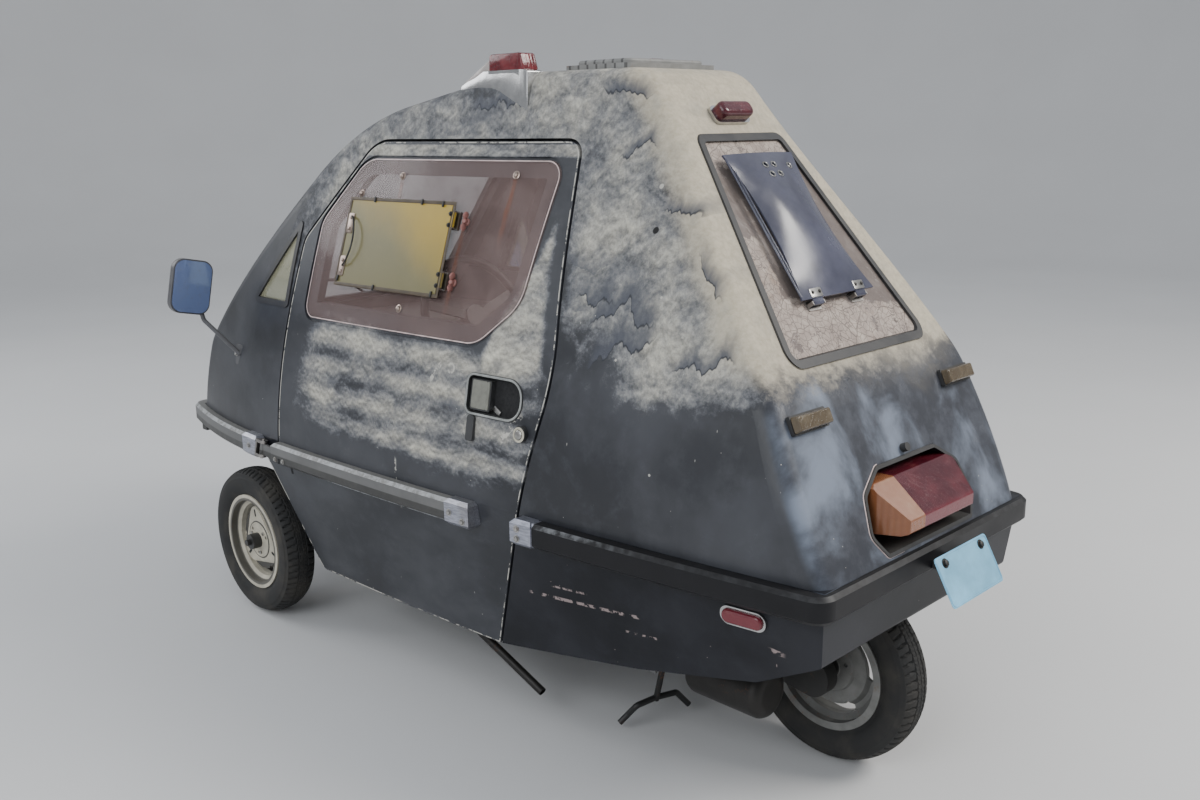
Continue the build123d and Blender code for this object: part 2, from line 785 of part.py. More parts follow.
# Engine, its drive arm with the rear axle, silencer, side pipe and stand
engine_bottom = 190
with BuildPart() as engine:
    add(slab(-120, 56, 490, 636, 200, 400))
    add(slab(56, 232, 490, 600, engine_bottom, 320))
    add(slab(-60, 60, bulkhead_rear_y, 490, 290, 380))
    for x in (128, 226):
        add(slab(x, x + 6, 515, 545, 160, engine_bottom))
    with BuildSketch(Plane((128, 530, 174), z_dir=(1, 0, 0))):
        Circle(5)
    extrude(amount=104)
save(engine.part, "engine")

with BuildPart() as drive_arm:
    with BuildSketch(Plane((56, 0, 0), x_dir=(0, 1, 0), z_dir=(1, 0, 0))):
        with Locations((600, 262)):
            Circle(56)
        with Locations((rear_axle_y, axle_height)):
            Circle(44)
        make_hull()
    extrude(amount=36)
    add(slab(56, 232, 490, 600, engine_bottom, 320), mode=Mode.SUBTRACT)
    with BuildSketch(Plane((56, rear_axle_y, axle_height), z_dir=(-1, 0, 0))):
        Circle(hub_bore - axle_pin_clearance)
    extrude(amount=92)
save(drive_arm.part, "drive_arm")

with BuildPart() as silencer:
    with BuildSketch(Plane((204, 645, 206), z_dir=(0, 1, 0))):
        Circle(56)
    extrude(amount=200)
    fillet(silencer.edges(), radius=22)
    with BuildSketch(Plane((204, 600, 236), z_dir=(0, 1, 0))):
        Circle(12)
    extrude(amount=60)
with BuildPart() as side_pipe:
    add(rod([(372, 40, floor_z - 6), (351, 298, 72)], 10, 1, 8))
    with BuildSketch(Plane.XY.offset(floor_z - 6)):
        with Locations((372, 44)):
            Circle(17)
    extrude(amount=6)
    add(slab(300, 440, 0, 120, floor_z, floor_z + 40), mode=Mode.SUBTRACT)
save_group([silencer.part, side_pipe.part], "exhaust")

with BuildPart() as stand:
    with BuildSketch(Plane((135, 530, 174), z_dir=(1, 0, 0))):
        Circle(10)
    extrude(amount=90)
    add(rod([(180, 526, 168), (180, 500, 60)], 7, 1))
    feet = [(262, 462, 20), (246, 474, 40), (238, 494, 66), (180, 500, 66), (120, 510, 60), (96, 528, 26)]
    add(rod(feet, 7, 10))
    with BuildSketch(Plane((100, 530, 174), z_dir=(1, 0, 0))):
        Circle(5.1)
    extrude(amount=200, mode=Mode.SUBTRACT)
save(stand.part, "stand")

# Cabin
with BuildPart() as seat_frame:
    add(slab(-190, 190, seat_front_y + 30, seat_frame_rear_y, floor_z + floor_thickness, seat_base_z + 90))
save(seat_frame.part, "seat_frame")
with BuildPart() as cushion:
    add(slab(
        -seat_width / 2, seat_width / 2, seat_front_y, seat_rear_y - 30, seat_base_z + 90 + seal_gap, seat_top_z,
    ))
    fillet(cushion.edges().filter_by(Axis.Z), radius=50)
    fillet(cushion.faces().sort_by(Axis.Z)[-1].edges(), radius=28)
save(cushion.part, "seat_cushion")
with BuildPart() as backrest:
    with BuildSketch(Plane.YZ):
        add(outline([
            (290, seat_top_z + seal_gap, 10), (382, seat_top_z + seal_gap, 10),
            (424, backrest_top_z, 30), (352, backrest_top_z, 30),
        ]))
    extrude(amount=seat_width / 2, both=True)
save(backrest.part, "seat_back")

with BuildPart() as dashboard:
    with BuildSketch(Plane.YZ):
        add(outline([
            (dash_front_y, dash_z + 24, 0), (dash_rear_y, dash_z + 24, 20), (dash_rear_y + 42, dash_z - 30, 20),
            (dash_rear_y, dash_z - 90, 10), (dash_front_y, dash_z - 60, 0),
        ]))
    extrude(amount=600, both=True)
    add(body_form(upper_sections, upper_profile, -wall - seal_gap, 60), mode=Mode.INTERSECT)
    add(rod([column_foot, column_head], column_radius, 1))
save(dashboard.part, "dashboard")

column_axis = (Vector(column_head) - Vector(column_foot)).normalized()
wheel_centre = Vector(column_head) + column_axis * 24
with BuildPart() as steering_wheel:
    with BuildSketch(Plane((steering_wheel_radius, 0, 0), z_dir=(0, 1, 0))):
        Circle(steering_grip_radius)
    revolve(axis=Axis.Z)
    with BuildSketch(Plane.XY.offset(-24 + knuckle_gap)):
        Circle(34)
    extrude(amount=34)
    for angle in (-20, 90, 200):
        add(slab(0, steering_wheel_radius - 4, -12, 12, -5, 3).rotate(Axis.Z, angle))
save(turned(steering_wheel.part, wheel_centre, (1, 0, 0), column_axis), "steering_wheel")


def hinge_barrel(place, turn, lift):
    """A flap's half of a small hinge, drawn on the flap: a bored barrel and the tongue that holds it."""
    with BuildPart() as barrel:
        with BuildSketch(Plane((-hinge_width / 2, 0, lift), z_dir=(1, 0, 0))):
            Circle(hinge_barrel_radius)
        extrude(amount=hinge_width)
        add(slab(-hinge_width / 2, hinge_width / 2, -22, 0, 0, 3))
        with BuildSketch(Plane((-hinge_width, 0, lift), z_dir=(1, 0, 0))):
            Circle(hinge_pin_radius + axle_pin_clearance)
        extrude(amount=2 * hinge_width, mode=Mode.SUBTRACT)
    return barrel.part.moved(Location((place[0], place[1], 0), (0, 0, turn)))


def hinge_leaf(place, turn, lift, foot, depth=0.0):
    """The fixed half of a small hinge: a leaf on the pane, two ears and the pin."""
    with BuildPart() as leaf:
        add(slab(-hinge_width / 2 - 4, hinge_width / 2 + 4, -10, 10, foot - depth, foot + 2.4))
        for x in (-hinge_width / 2 - 4, hinge_width / 2 + 1):
            add(slab(x, x + 3, -4, 4, foot, lift + 4))
        with BuildSketch(Plane((-hinge_width / 2 - 4, 0, lift), z_dir=(1, 0, 0))):
            Circle(hinge_pin_radius)
        extrude(amount=hinge_width + 8)
    return leaf.part.moved(Location((place[0], place[1], 0), (0, 0, turn)))


# Side flap over the left door's window, hung at its rear edge
side_flap_pin_lift = 2
rear_flap_pin_lift = -2
flap_y = -145
flap_z = roof_z - 391
side_rise = Vector(side_x(flap_y, flap_z + 50) - side_x(flap_y, flap_z - 50), 0, 100).normalized()
side_run = Vector(side_x(flap_y + 50, flap_z) - side_x(flap_y - 50, flap_z), 100, 0).normalized()
side_normal = side_run.cross(side_rise).normalized()
flap_centre = Vector(side_x(flap_y, flap_z), flap_y, flap_z) + side_normal * side_flap_stand_off
with BuildPart() as side_flap:
    with BuildSketch():
        RectangleRounded(side_flap_length, side_flap_height, 6)
    extrude(amount=side_flap_thickness)
    for height in (-70, 70):
        add(hinge_barrel((side_flap_length / 2 + 8, height), -90, side_flap_pin_lift))
side_flap_turn = Plane(flap_centre, x_dir=side_run, z_dir=side_normal)
save(side_flap.part.moved(side_flap_turn.location), "side_flap")
window_outer = core(upper_sections, panel_outer + seal_gap, 60)
side_leaves = []
for height in (-70, 70):
    foot = -side_flap_stand_off + panel_outer
    leaf = hinge_leaf((side_flap_length / 2 + 8, height), -90, side_flap_pin_lift, foot, 10)
    with BuildPart() as seated_leaf:
        add(leaf.moved(side_flap_turn.location))
        add(window_outer, mode=Mode.SUBTRACT)
    side_leaves.append(seated_leaf.part)
save_group(side_leaves, "side_flap_hinges")

# Rear flap, hung at its bottom edge over the rear window
rear_normal = Vector(0, 1, rear_slope).normalized()
rear_up = Vector(0, -rear_slope, 1).normalized()
rear_x = Vector(-1, 0, 0)


def rear_point(x, z, lift=0.0):
    """A point above the upper, flat part of the rear face."""
    return Vector(x, tail_knee[0] - rear_slope * (z - tail_knee[1]), z) + rear_normal * lift


def tail_point(x, z, lift=0.0):
    """A point above the lower, flat part of the rear face."""
    return Vector(x, tail_foot[0] - tail_slope * (z - tail_foot[1]), z) + tail_normal * lift


def nose_point(x, z, lift=0.0):
    """A point in front of the nose panel."""
    return Vector(x, nose_foot[0] + nose_slope * (z - nose_foot[1]), z) + nose_normal * lift


tail_normal = Vector(0, 1, tail_slope).normalized()
nose_normal = Vector(0, -1, nose_slope).normalized()
flap_mid_z = (flap_low_z + flap_high_z) / 2
flap_length = (flap_high_z - flap_low_z) * sqrt(1 + rear_slope * rear_slope)
with BuildPart() as rear_flap:
    for share, half, bulge in flap_sections:
        with BuildSketch(Plane((0, share * flap_length, 0), x_dir=(1, 0, 0), z_dir=(0, -1, 0))):
            with BuildLine():
                ThreePointArc((-half, 0), (0, bulge), (half, 0))
                Line((half, 0), (half, flap_thickness))
                ThreePointArc((half, flap_thickness), (0, bulge + flap_thickness), (-half, flap_thickness))
                Line((-half, flap_thickness), (-half, 0))
            make_face()
    loft()
    with BuildSketch(Plane.XY.offset(-5)):
        with Locations(*[(x, flap_length / 2 - down) for x, down in flap_holes]):
            Circle(5)
    extrude(amount=60, mode=Mode.SUBTRACT)
    for x in (-flap_hinge_x, flap_hinge_x):
        add(hinge_barrel((x, -flap_length / 2 - 8), 180, rear_flap_pin_lift))
    for inset in (5, 13):
        top = (-flap_sections[-1][1] + inset, flap_length / 2 - 8, flap_thickness / 2)
        foot = (-flap_sections[0][1] + inset, -flap_length / 2 + 8, flap_thickness / 2)
        add(rod([top, foot], 2.5, 1))
rear_flap_foot = rear_point(0, flap_mid_z, flap_stand_off)
save(turned(rear_flap.part, rear_flap_foot, rear_x, rear_normal), "rear_flap")
leaf_foot = -flap_stand_off - pane_recess + seal_gap
rear_leaves = [
    hinge_leaf((x, -flap_length / 2 - 8), 180, rear_flap_pin_lift, leaf_foot) for x in (-flap_hinge_x, flap_hinge_x)
]
rear_leaves = [turned(leaf, rear_flap_foot, rear_x, rear_normal) for leaf in rear_leaves]
save_group(rear_leaves + both_sides(door_fork.part), "hinge_brackets")

# Tail lamps: a deep dark housing in the rear face and the small lamps' bases
with BuildPart() as tail_housing:
    add(long_prism(tail_lamp_outline, -seal_gap, 960, 1200))
    add(body_form(upper_sections, upper_profile, 3), mode=Mode.INTERSECT)
    add(long_prism(tail_lamp_outline, -tail_lamp_liner, 975, 1200), mode=Mode.SUBTRACT)
knob = disc_on(tail_point(0, 724, seal_gap), rear_x, tail_normal, 9, 13)
lamp_bases = [tail_housing.part, knob]
lamp_lenses = []
lamp_width, lamp_height, lamp_depth = rear_lamp_size
lamp_base_depth = 8
for x in (-rear_lamp_x, rear_lamp_x):
    spot = tail_point(x, rear_lamp_z, seal_gap)
    lamp_bases.append(box_on(spot, rear_x, tail_normal, (lamp_width, lamp_height, lamp_base_depth), 0, 5))
    with BuildPart() as small_lens:
        with BuildSketch(Plane.XY.offset(lamp_base_depth + seal_gap)):
            RectangleRounded(lamp_width - 6, lamp_height - 6, 5)
        extrude(amount=lamp_depth - lamp_base_depth - seal_gap, taper=8)
        fillet(small_lens.faces().sort_by(Axis.Z)[-1].edges(), radius=4)
    lamp_lenses.append(turned(small_lens.part, spot, rear_x, tail_normal))
save_group(lamp_bases, "tail_lamp_housings")
save_group(lamp_lenses, "indicator_lenses")

cluster_back_y = 975 + seal_gap
with BuildPart() as cluster:
    with BuildSketch(Plane.YZ):
        add(outline([
            (cluster_back_y, cluster_top[1], 0), (cluster_top[0], cluster_top[1], 6),
            (cluster_rear[0], cluster_rear[1], 7), (cluster_rear[0], cluster_bottom_z + 6, 5),
            (cluster_rear[0] - 16, cluster_bottom_z, 5), (cluster_back_y, cluster_bottom_z, 0),
        ]))
    extrude(amount=200, both=True)
    with BuildSketch(Plane.XY.offset(cluster_bottom_z)):
        add(outline([(-150, cluster_back_y, 0)] + cluster_plan + [(150, cluster_back_y, 0)]))
    extrude(amount=200, mode=Mode.INTERSECT)
    add(long_prism(tail_lamp_outline, -tail_lamp_liner - seal_gap, cluster_back_y, 1200), mode=Mode.INTERSECT)
with BuildPart() as amber_part:
    add(cluster.part)
    add(slab(-200, cluster_split_x + seal_gap, 900, 1200, 500, 800), mode=Mode.SUBTRACT)
with BuildPart() as red_part:
    add(cluster.part)
    add(slab(cluster_split_x, 200, 900, 1200, 500, 800), mode=Mode.SUBTRACT)

# Side markers, roof lamps, headlamps and front indicators
lower_outer = body_form(lower_sections, lower_profile, seal_gap)
bezels = []
red_lenses = [red_part.part]
amber_lenses = [amber_part.part]
clear_lenses = []
marker_y = 909
marker_z = 459
marker_lean = (waist_section[1] - lower_sections[0][1]) / (waist_z - sill_z)
marker_drop = side_drop(waist_section[2], marker_y - widest_y)
marker_x = waist_section[1] - marker_drop - (waist_z - marker_z) * marker_lean
marker_turn = (marker_y - widest_y) / waist_section[2]
for side in (-1, 1):
    normal = Vector(side, marker_turn, -marker_lean).normalized()
    along = Vector(-side * marker_turn, 1, 0).normalized()
    origin = Vector(side * marker_x, marker_y, marker_z)
    with BuildPart() as bezel:
        with BuildSketch(Plane.XY.offset(-4)):
            RectangleRounded(marker_size[0], marker_size[1], 19)
            RectangleRounded(marker_size[0] - 10, marker_size[1] - 10, 14, mode=Mode.SUBTRACT)
        extrude(amount=11)
    with BuildPart() as lens:
        with BuildSketch(Plane.XY.offset(-4)):
            RectangleRounded(marker_size[0] - 10.6, marker_size[1] - 10.6, 14)
        extrude(amount=marker_size[2] + 5)
        fillet(lens.faces().sort_by(Axis.Z)[-1].edges(), radius=6)
    for piece, group in ((bezel.part, bezels), (lens.part, red_lenses)):
        with BuildPart() as seated:
            add(turned(piece, origin, along, normal))
            add(lower_outer, mode=Mode.SUBTRACT)
        group.append(seated.part)

for side in (-1, 1):
    x0 = side * roof_lamp_x
    with BuildPart() as seat:
        add(slab(x0 - 24, x0 + 24, roof_lamp_y - 52, roof_lamp_y + 52, roof_z - 30, roof_z + 4))
        add(rounded_upper.part, mode=Mode.SUBTRACT)
    bezels.append(seat.part)
    lens_z = roof_z + 4 + seal_gap
    for near_y, far_y, group in ((1, 48, red_lenses), (-48, 0, clear_lenses)):
        with BuildPart() as dome:
            add(slab(x0 - 21, x0 + 21, roof_lamp_y + near_y, roof_lamp_y + far_y, lens_z, lens_z + roof_lamp_height))
            fillet(dome.faces().sort_by(Axis.Z)[-1].edges(), radius=9)
        group.append(dome.part)
high_lamp_spot = rear_point(0, roof_z - 103, seal_gap)
bezels.append(box_on(high_lamp_spot, rear_x, rear_normal, (116, 44, 8), 0, 14))
with BuildPart() as high_lens:
    with BuildSketch(Plane.XY.offset(8 + seal_gap)):
        RectangleRounded(104, 36, 14)
    extrude(amount=26)
    fillet(high_lens.faces().sort_by(Axis.Z)[-1].edges(), radius=10)
red_lenses.append(turned(high_lens.part, high_lamp_spot, rear_x, rear_normal))
for side in (-1, 1):
    spot = nose_point(side * 252, 660, seal_gap)
    bezels.append(disc_on(spot, (1, 0, 0), nose_normal, 76, 16, 0, 66))
    clear_lenses.append(disc_on(spot, (1, 0, 0), nose_normal, 65.7, 22))
    amber_lenses.append(box_on(nose_point(side * 366, 640, seal_gap), (1, 0, 0), nose_normal, (46, 70, 24), 0, 8))
save_group(bezels, "lamp_bezels")
save_group(red_lenses, "red_lenses")
save_group(amber_lenses, "amber_lenses")
save_group(clear_lenses, "clear_lenses")

# Number plate on its bracket
plate_normal = Vector(0, cos(radians(plate_tilt)), sin(radians(plate_tilt)))
plate = box_on(plate_centre, rear_x, plate_normal, plate_size, 0, 8)
save(plate, "number_plate")
bracket_z = 503
with BuildPart() as plate_bracket:
    add(slab(-30, 30, tail_rear_y + seal_gap, plate_centre[1] + 30, bracket_z, bracket_z + 16))
    add(turned(slab(-60, 60, -20, 20, -6, 0), plate_centre, rear_x, plate_normal))
    add(turned(slab(-200, 200, -200, 200, -seal_gap, 200), plate_centre, rear_x, plate_normal), mode=Mode.SUBTRACT)
save(plate_bracket.part, "plate_bracket")

# Mirrors
mirror_solids = []
mirror_panes = []
mirror_lean = Vector(cos(radians(mirror_roll)), 0, sin(radians(mirror_roll)))
with BuildPart() as head:
    with BuildSketch(Plane(mirror_centre, x_dir=mirror_lean, z_dir=(0, -1, 0))):
        RectangleRounded(mirror_size[0], mirror_size[1], 30)
    extrude(amount=mirror_size[2])
    fillet(head.faces().sort_by(Axis.Y)[0].edges(), radius=14)
    add(rod([mirror_foot, (538, -852, 850), (mirror_centre[0] - 20, mirror_centre[1] - 13, 900)], 6, 20))
    add(box_on((450, -790, 748), (0, 1, 0), (1, 0, 0.12), (40, 56, 24), 0, 8))
    add(body_form(upper_sections, upper_profile, seal_gap), mode=Mode.SUBTRACT)
mirror_solids = both_sides(head.part)
with BuildPart() as glass:
    with BuildSketch(Plane(Vector(mirror_centre) + Vector(0, seal_gap, 0), x_dir=-mirror_lean, z_dir=(0, 1, 0))):
        RectangleRounded(mirror_size[0] - 8, mirror_size[1] - 8, 27)
    extrude(amount=2.5)
save_group(mirror_solids, "mirrors")
save_group(both_sides(glass.part), "mirror_glass")

# Door handles: a dished plate with a pull lever, let into each door, with a lock and a rubber stop below
with BuildPart() as handle:
    with BuildSketch(Plane.XY.offset(-handle_depth)):
        add(outline(handle_outline, -seal_gap))
    extrude(amount=handle_depth + 2)
    with BuildSketch(Plane.XY.offset(-handle_depth + 3)):
        add(outline(handle_outline, -6))
    extrude(amount=handle_depth + 5, mode=Mode.SUBTRACT)
    with BuildSketch(Plane.XY.offset(-handle_depth + 3)):
        with Locations((-43, 0)):
            RectangleRounded(62, 68, 5)
    extrude(amount=handle_depth - 5)
side_seat = core(upper_sections, seal_gap)
with BuildPart() as lock:
    with BuildSketch(side_plane(lock_y, lock_z).offset(-2)):
        Circle(17)
        Circle(4, mode=Mode.SUBTRACT)
    extrude(amount=12)
    add(side_seat, mode=Mode.SUBTRACT)
with BuildPart() as stop:
    with BuildSketch(handle_plane.offset(-6)):
        with Locations((-60, handle_outline[0][1] - 28 - seal_gap)):
            RectangleRounded(22, 56, 6)
    extrude(amount=11)
    add(side_seat, mode=Mode.SUBTRACT)
handle_pieces = [handle.part.moved(handle_plane.location), lock.part, stop.part]
save_group(handle_pieces, "handle_left")
save_group([mirror(piece, about=Plane.YZ) for piece in handle_pieces], "handle_right")

# Wiper parked along the foot of the windscreen
screen_slope = (brow_y - nose_knee[0]) / (brow_z - nose_knee[1])
screen_normal = Vector(0, -1, screen_slope).normalized()


def screen_point(x, z, lift):
    """A point in front of the flat part of the windscreen."""
    return Vector(x, nose_knee[0] + screen_slope * (z - nose_knee[1]), z) + screen_normal * lift


with BuildPart() as wiper:
    add(disc_on(nose_point(wiper_x, nose_knee[1]) + Vector(0, 22, 22), (1, 0, 0), (0, -0.72, 0.7), 14, 34))
    add(body_form(upper_sections, upper_profile, seal_gap), mode=Mode.SUBTRACT)
    spindle_top = nose_point(wiper_x, nose_knee[1]) + Vector(0, 22, 22) + Vector(0, -0.72, 0.7) * 26
    blade_middle = screen_point(wiper_x + 190, 900, 8)
    add(rod([tuple(spindle_top), tuple(blade_middle)], 4, 1))
    add(rod([tuple(screen_point(wiper_x + 20, 884, 7)), tuple(screen_point(wiper_x + 360, 916, 7))], 5, 1))
save(wiper.part, "wiper")

# Roof hatch: a flat base and a smaller lid
with BuildPart() as vent:
    vent_low = roof_z + seal_gap
    base_z = roof_z + vent_height / 2
    add(slab(-vent_half_width, vent_half_width, vent_front_y, vent_rear_y, vent_low, base_z))
    fillet(vent.edges().filter_by(Axis.Z), radius=30)
    with BuildSketch(Plane.XY.offset(base_z)):
        with Locations((0, (vent_front_y + vent_rear_y) / 2)):
            RectangleRounded(2 * vent_half_width - 44, vent_rear_y - vent_front_y - 44, 22)
    extrude(amount=vent_height / 2)
    fillet(vent.faces().sort_by(Axis.Z)[-1].edges(), radius=6)
save(vent.part, "roof_vent")
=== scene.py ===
"""Looks of the three-wheeled microcar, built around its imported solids, in metres and in their frame."""

import json
import math

import bmesh
import bpy
from mathutils import Matrix, Vector
from mathutils.bvhtree import BVHTree


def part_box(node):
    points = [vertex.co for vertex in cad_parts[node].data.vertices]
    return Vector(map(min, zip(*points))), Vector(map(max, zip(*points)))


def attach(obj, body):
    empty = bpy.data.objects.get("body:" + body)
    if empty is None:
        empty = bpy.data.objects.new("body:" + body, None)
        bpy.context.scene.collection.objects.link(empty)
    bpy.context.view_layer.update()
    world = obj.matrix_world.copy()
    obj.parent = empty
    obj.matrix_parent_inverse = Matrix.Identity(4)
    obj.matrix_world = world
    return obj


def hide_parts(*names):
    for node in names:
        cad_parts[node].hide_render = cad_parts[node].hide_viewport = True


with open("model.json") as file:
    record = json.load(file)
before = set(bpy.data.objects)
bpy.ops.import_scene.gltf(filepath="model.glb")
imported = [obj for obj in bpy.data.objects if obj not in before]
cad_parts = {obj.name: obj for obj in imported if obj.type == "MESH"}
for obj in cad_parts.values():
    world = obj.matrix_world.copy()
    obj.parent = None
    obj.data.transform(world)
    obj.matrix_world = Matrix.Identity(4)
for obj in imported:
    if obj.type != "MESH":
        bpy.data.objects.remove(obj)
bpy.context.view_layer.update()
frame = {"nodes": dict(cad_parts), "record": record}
nodes = frame["nodes"]


# Node graphs
class Value:
    """A node's output; sums and products of it are nodes as well."""

    def __init__(self, graph, socket):
        self.graph, self.socket = graph, socket

    def __add__(self, other):
        return self.graph.maths("ADD", self, other)

    def __sub__(self, other):
        return self.graph.maths("SUBTRACT", self, other)

    def __rsub__(self, other):
        return self.graph.maths("SUBTRACT", other, self)

    def __mul__(self, other):
        return self.graph.maths("MULTIPLY", self, other)


class Graph:
    """A material and short calls to build its node graph."""

    def __init__(self, name):
        self.material = bpy.data.materials.new(name)
        self.material.use_nodes = True
        self.tree = self.material.node_tree
        self.tree.nodes.clear()
        self.where = Value(self, self.make("TexCoord").outputs["Object"])
        self.parts = None

    def make(self, kind, **fields):
        node = self.tree.nodes.new("ShaderNode" + kind)
        for key, value in fields.items():
            setattr(node, key, value)
        return node

    def feed(self, socket, value):
        if value is None:
            return
        if isinstance(value, Value):
            self.tree.links.new(value.socket, socket)
        elif isinstance(value, tuple) and socket.type == "RGBA":
            socket.default_value = (*value, 1)
        else:
            socket.default_value = value

    def feed_all(self, node, **values):
        for key, value in values.items():
            self.feed(node.inputs[key.replace("_", " ")], value)

    def out(self, node, key=0):
        return Value(self, node.outputs[key])

    def scaled(self, scale, offset=(0, 0, 0), turn=(0, 0, 0)):
        node = self.make("Mapping")
        if not isinstance(scale, tuple):
            scale = (scale,) * 3
        self.feed_all(node, Vector=self.where, Scale=scale, Location=offset, Rotation=turn)
        return self.out(node)

    def noise(self, scale, detail=5, rough=0.55, vector=None, warp=0.0, out="Fac"):
        node = self.make("TexNoise")
        self.feed_all(node, Vector=vector or self.where, Scale=scale, Detail=detail, Roughness=rough, Distortion=warp)
        return self.out(node, out)

    def warped(self, vector, scale, amount):
        """A vector pushed about by noise, so that what it drives loses its straight edges."""
        push = self.make("VectorMath", operation="MULTIPLY_ADD")
        self.feed(push.inputs[0], self.noise(scale, 3, 0.5, vector, out="Color"))
        self.feed(push.inputs[1], (amount,) * 3)
        self.feed(push.inputs[2], vector)
        return self.out(push)

    def cells(self, scale, feature="F1", vector=None, random_share=1.0):
        node = self.make("TexVoronoi", feature=feature)
        self.feed_all(node, Vector=vector or self.where, Scale=scale, Randomness=random_share)
        return self.out(node, "Distance")

    def wave(self, scale, vector=None, warp=0.0, direction="X", detail=2):
        node = self.make("TexWave", bands_direction=direction)
        self.feed_all(node, Vector=vector or self.where, Scale=scale, Distortion=warp, Detail=detail)
        return self.out(node, "Fac")

    def split(self, vector):
        node = self.make("SeparateXYZ")
        self.feed(node.inputs[0], vector)
        return node

    def axis(self, letter):
        """A coordinate in the frame."""
        self.parts = self.parts or self.split(self.where)
        return self.out(self.parts, letter)

    def facing_up(self):
        """How far a face looks up."""
        return self.out(self.split(self.out(self.make("NewGeometry"), "Normal")), "Z")

    def maths(self, operation, a, b=None, clamp=False):
        node = self.make("Math", operation=operation, use_clamp=clamp)
        self.feed(node.inputs[0], a)
        self.feed(node.inputs[1], b)
        return self.out(node)

    def clamped(self, a, b):
        """A sum held between 0 and 1."""
        return self.maths("ADD", a, b, clamp=True)

    def least(self, a, b):
        return self.maths("MINIMUM", a, b)

    def most(self, a, b):
        return self.maths("MAXIMUM", a, b)

    def steps(self, value, low, high, start=0.0, end=1.0):
        node = self.make("MapRange", interpolation_type="SMOOTHSTEP")
        self.feed_all(node, Value=value, From_Min=low, From_Max=high, To_Min=start, To_Max=end)
        return self.out(node)

    def falls(self, value, low, high):
        """1 below a range, 0 above it."""
        return self.steps(value, low, high, 1.0, 0.0)

    def between(self, value, low, high, soft):
        return self.steps(value, low - soft, low + soft) * self.falls(value, high - soft, high + soft)

    def blend(self, share, a, b, mode="MIX"):
        node = self.make("Mix", data_type="RGBA", blend_type=mode)
        self.feed(node.inputs["Factor"], share)
        self.feed(node.inputs[6], a)
        self.feed(node.inputs[7], b)
        return self.out(node, 2)

    def ramp(self, value, stops):
        node = self.make("ValToRGB")
        self.feed(node.inputs[0], value)
        elements = node.color_ramp.elements
        while len(elements) < len(stops):
            elements.new(0.5)
        for element, (place, colour) in zip(elements, stops):
            element.position = place
            element.color = (*colour, 1)
        return self.out(node)

    def bump(self, height, strength=0.3, distance=0.002):
        node = self.make("Bump")
        self.feed_all(node, Height=height, Strength=strength, Distance=distance)
        return self.out(node)

    def outward(self):
        """1 on faces that look away from the middle of the car, 0 on those that look in."""
        arm = self.make("VectorMath", operation="SUBTRACT")
        self.feed(arm.inputs[0], self.where)
        self.feed(arm.inputs[1], (0, 0, 0.75))
        turned = self.make("VectorMath", operation="DOT_PRODUCT")
        self.feed(turned.inputs[0], self.out(arm))
        self.feed(turned.inputs[1], self.out(self.make("TexCoord"), "Normal"))
        return self.steps(self.out(turned, "Value"), -0.01, 0.02)

    def side_distance(self, y0, z0):
        """Distance in the side view from a place along the car and up it."""
        dy = self.axis("Y") - y0
        dz = self.axis("Z") - z0
        return self.maths("SQRT", dy * dy + dz * dz)

    def spot(self, y0, z0, radius, soft=0.25):
        """A round mark on the left side."""
        left = self.steps(self.axis("X"), 0.0, 0.05)
        return left * self.falls(self.side_distance(y0, z0), radius * (1 - soft), radius)

    def scrape(self, start, end, width, breaks=60, share=0.5):
        """A broken scrape on the left side between two places in the side view."""
        (y0, z0), (y1, z1) = start, end
        length = math.hypot(y1 - y0, z1 - z0)
        run, rise = (y1 - y0) / length, (z1 - z0) / length
        dy = self.axis("Y") - y0
        dz = self.axis("Z") - z0
        along = dy * run + dz * rise
        across = self.maths("ABSOLUTE", dz * run - dy * rise)
        ragged = self.noise(breaks, 5, 0.7)
        inside = self.falls(across - (ragged - 0.5) * width, width * 0.6, width)
        inside = inside * self.between(along, 0.0, length, 0.008)
        inside = inside * self.steps(self.noise(breaks * 0.7, 4, 0.7, self.scaled(1, (3, 1, 2))), share, share + 0.06)
        return inside * self.steps(self.axis("X"), 0.0, 0.05)

    def finish(self, colour, rough=0.5, normal=None, metal=0.0, **sockets):
        shader = self.make("BsdfPrincipled")
        self.feed_all(shader, Base_Color=colour, Roughness=rough, Metallic=metal, Normal=normal, **sockets)
        self.feed(self.make("OutputMaterial").inputs["Surface"], self.out(shader))
        return self.material


def grey(value):
    return (value, value, value)


def shade(colour, factor):
    return tuple(c * factor for c in colour)


# Planes of the car that the paint's wear follows
roof_z, roof_rear_y, knee_y, knee_z, tail_y, waist_z = 1.475, 0.468, 0.938, 0.862, 1.077, 0.550
rear_slope = (knee_y - roof_rear_y) / (roof_z - knee_z)
tail_slope = (tail_y - knee_y) / (knee_z - waist_z)


def rear_depth(g):
    """How far a point lies ahead of the rear face, below zero."""
    z, y = g.axis("Z"), g.axis("Y")
    upper = (roof_z - z) * rear_slope + roof_rear_y
    lower = (knee_z - z) * tail_slope + knee_y
    return y - g.least(upper, lower)


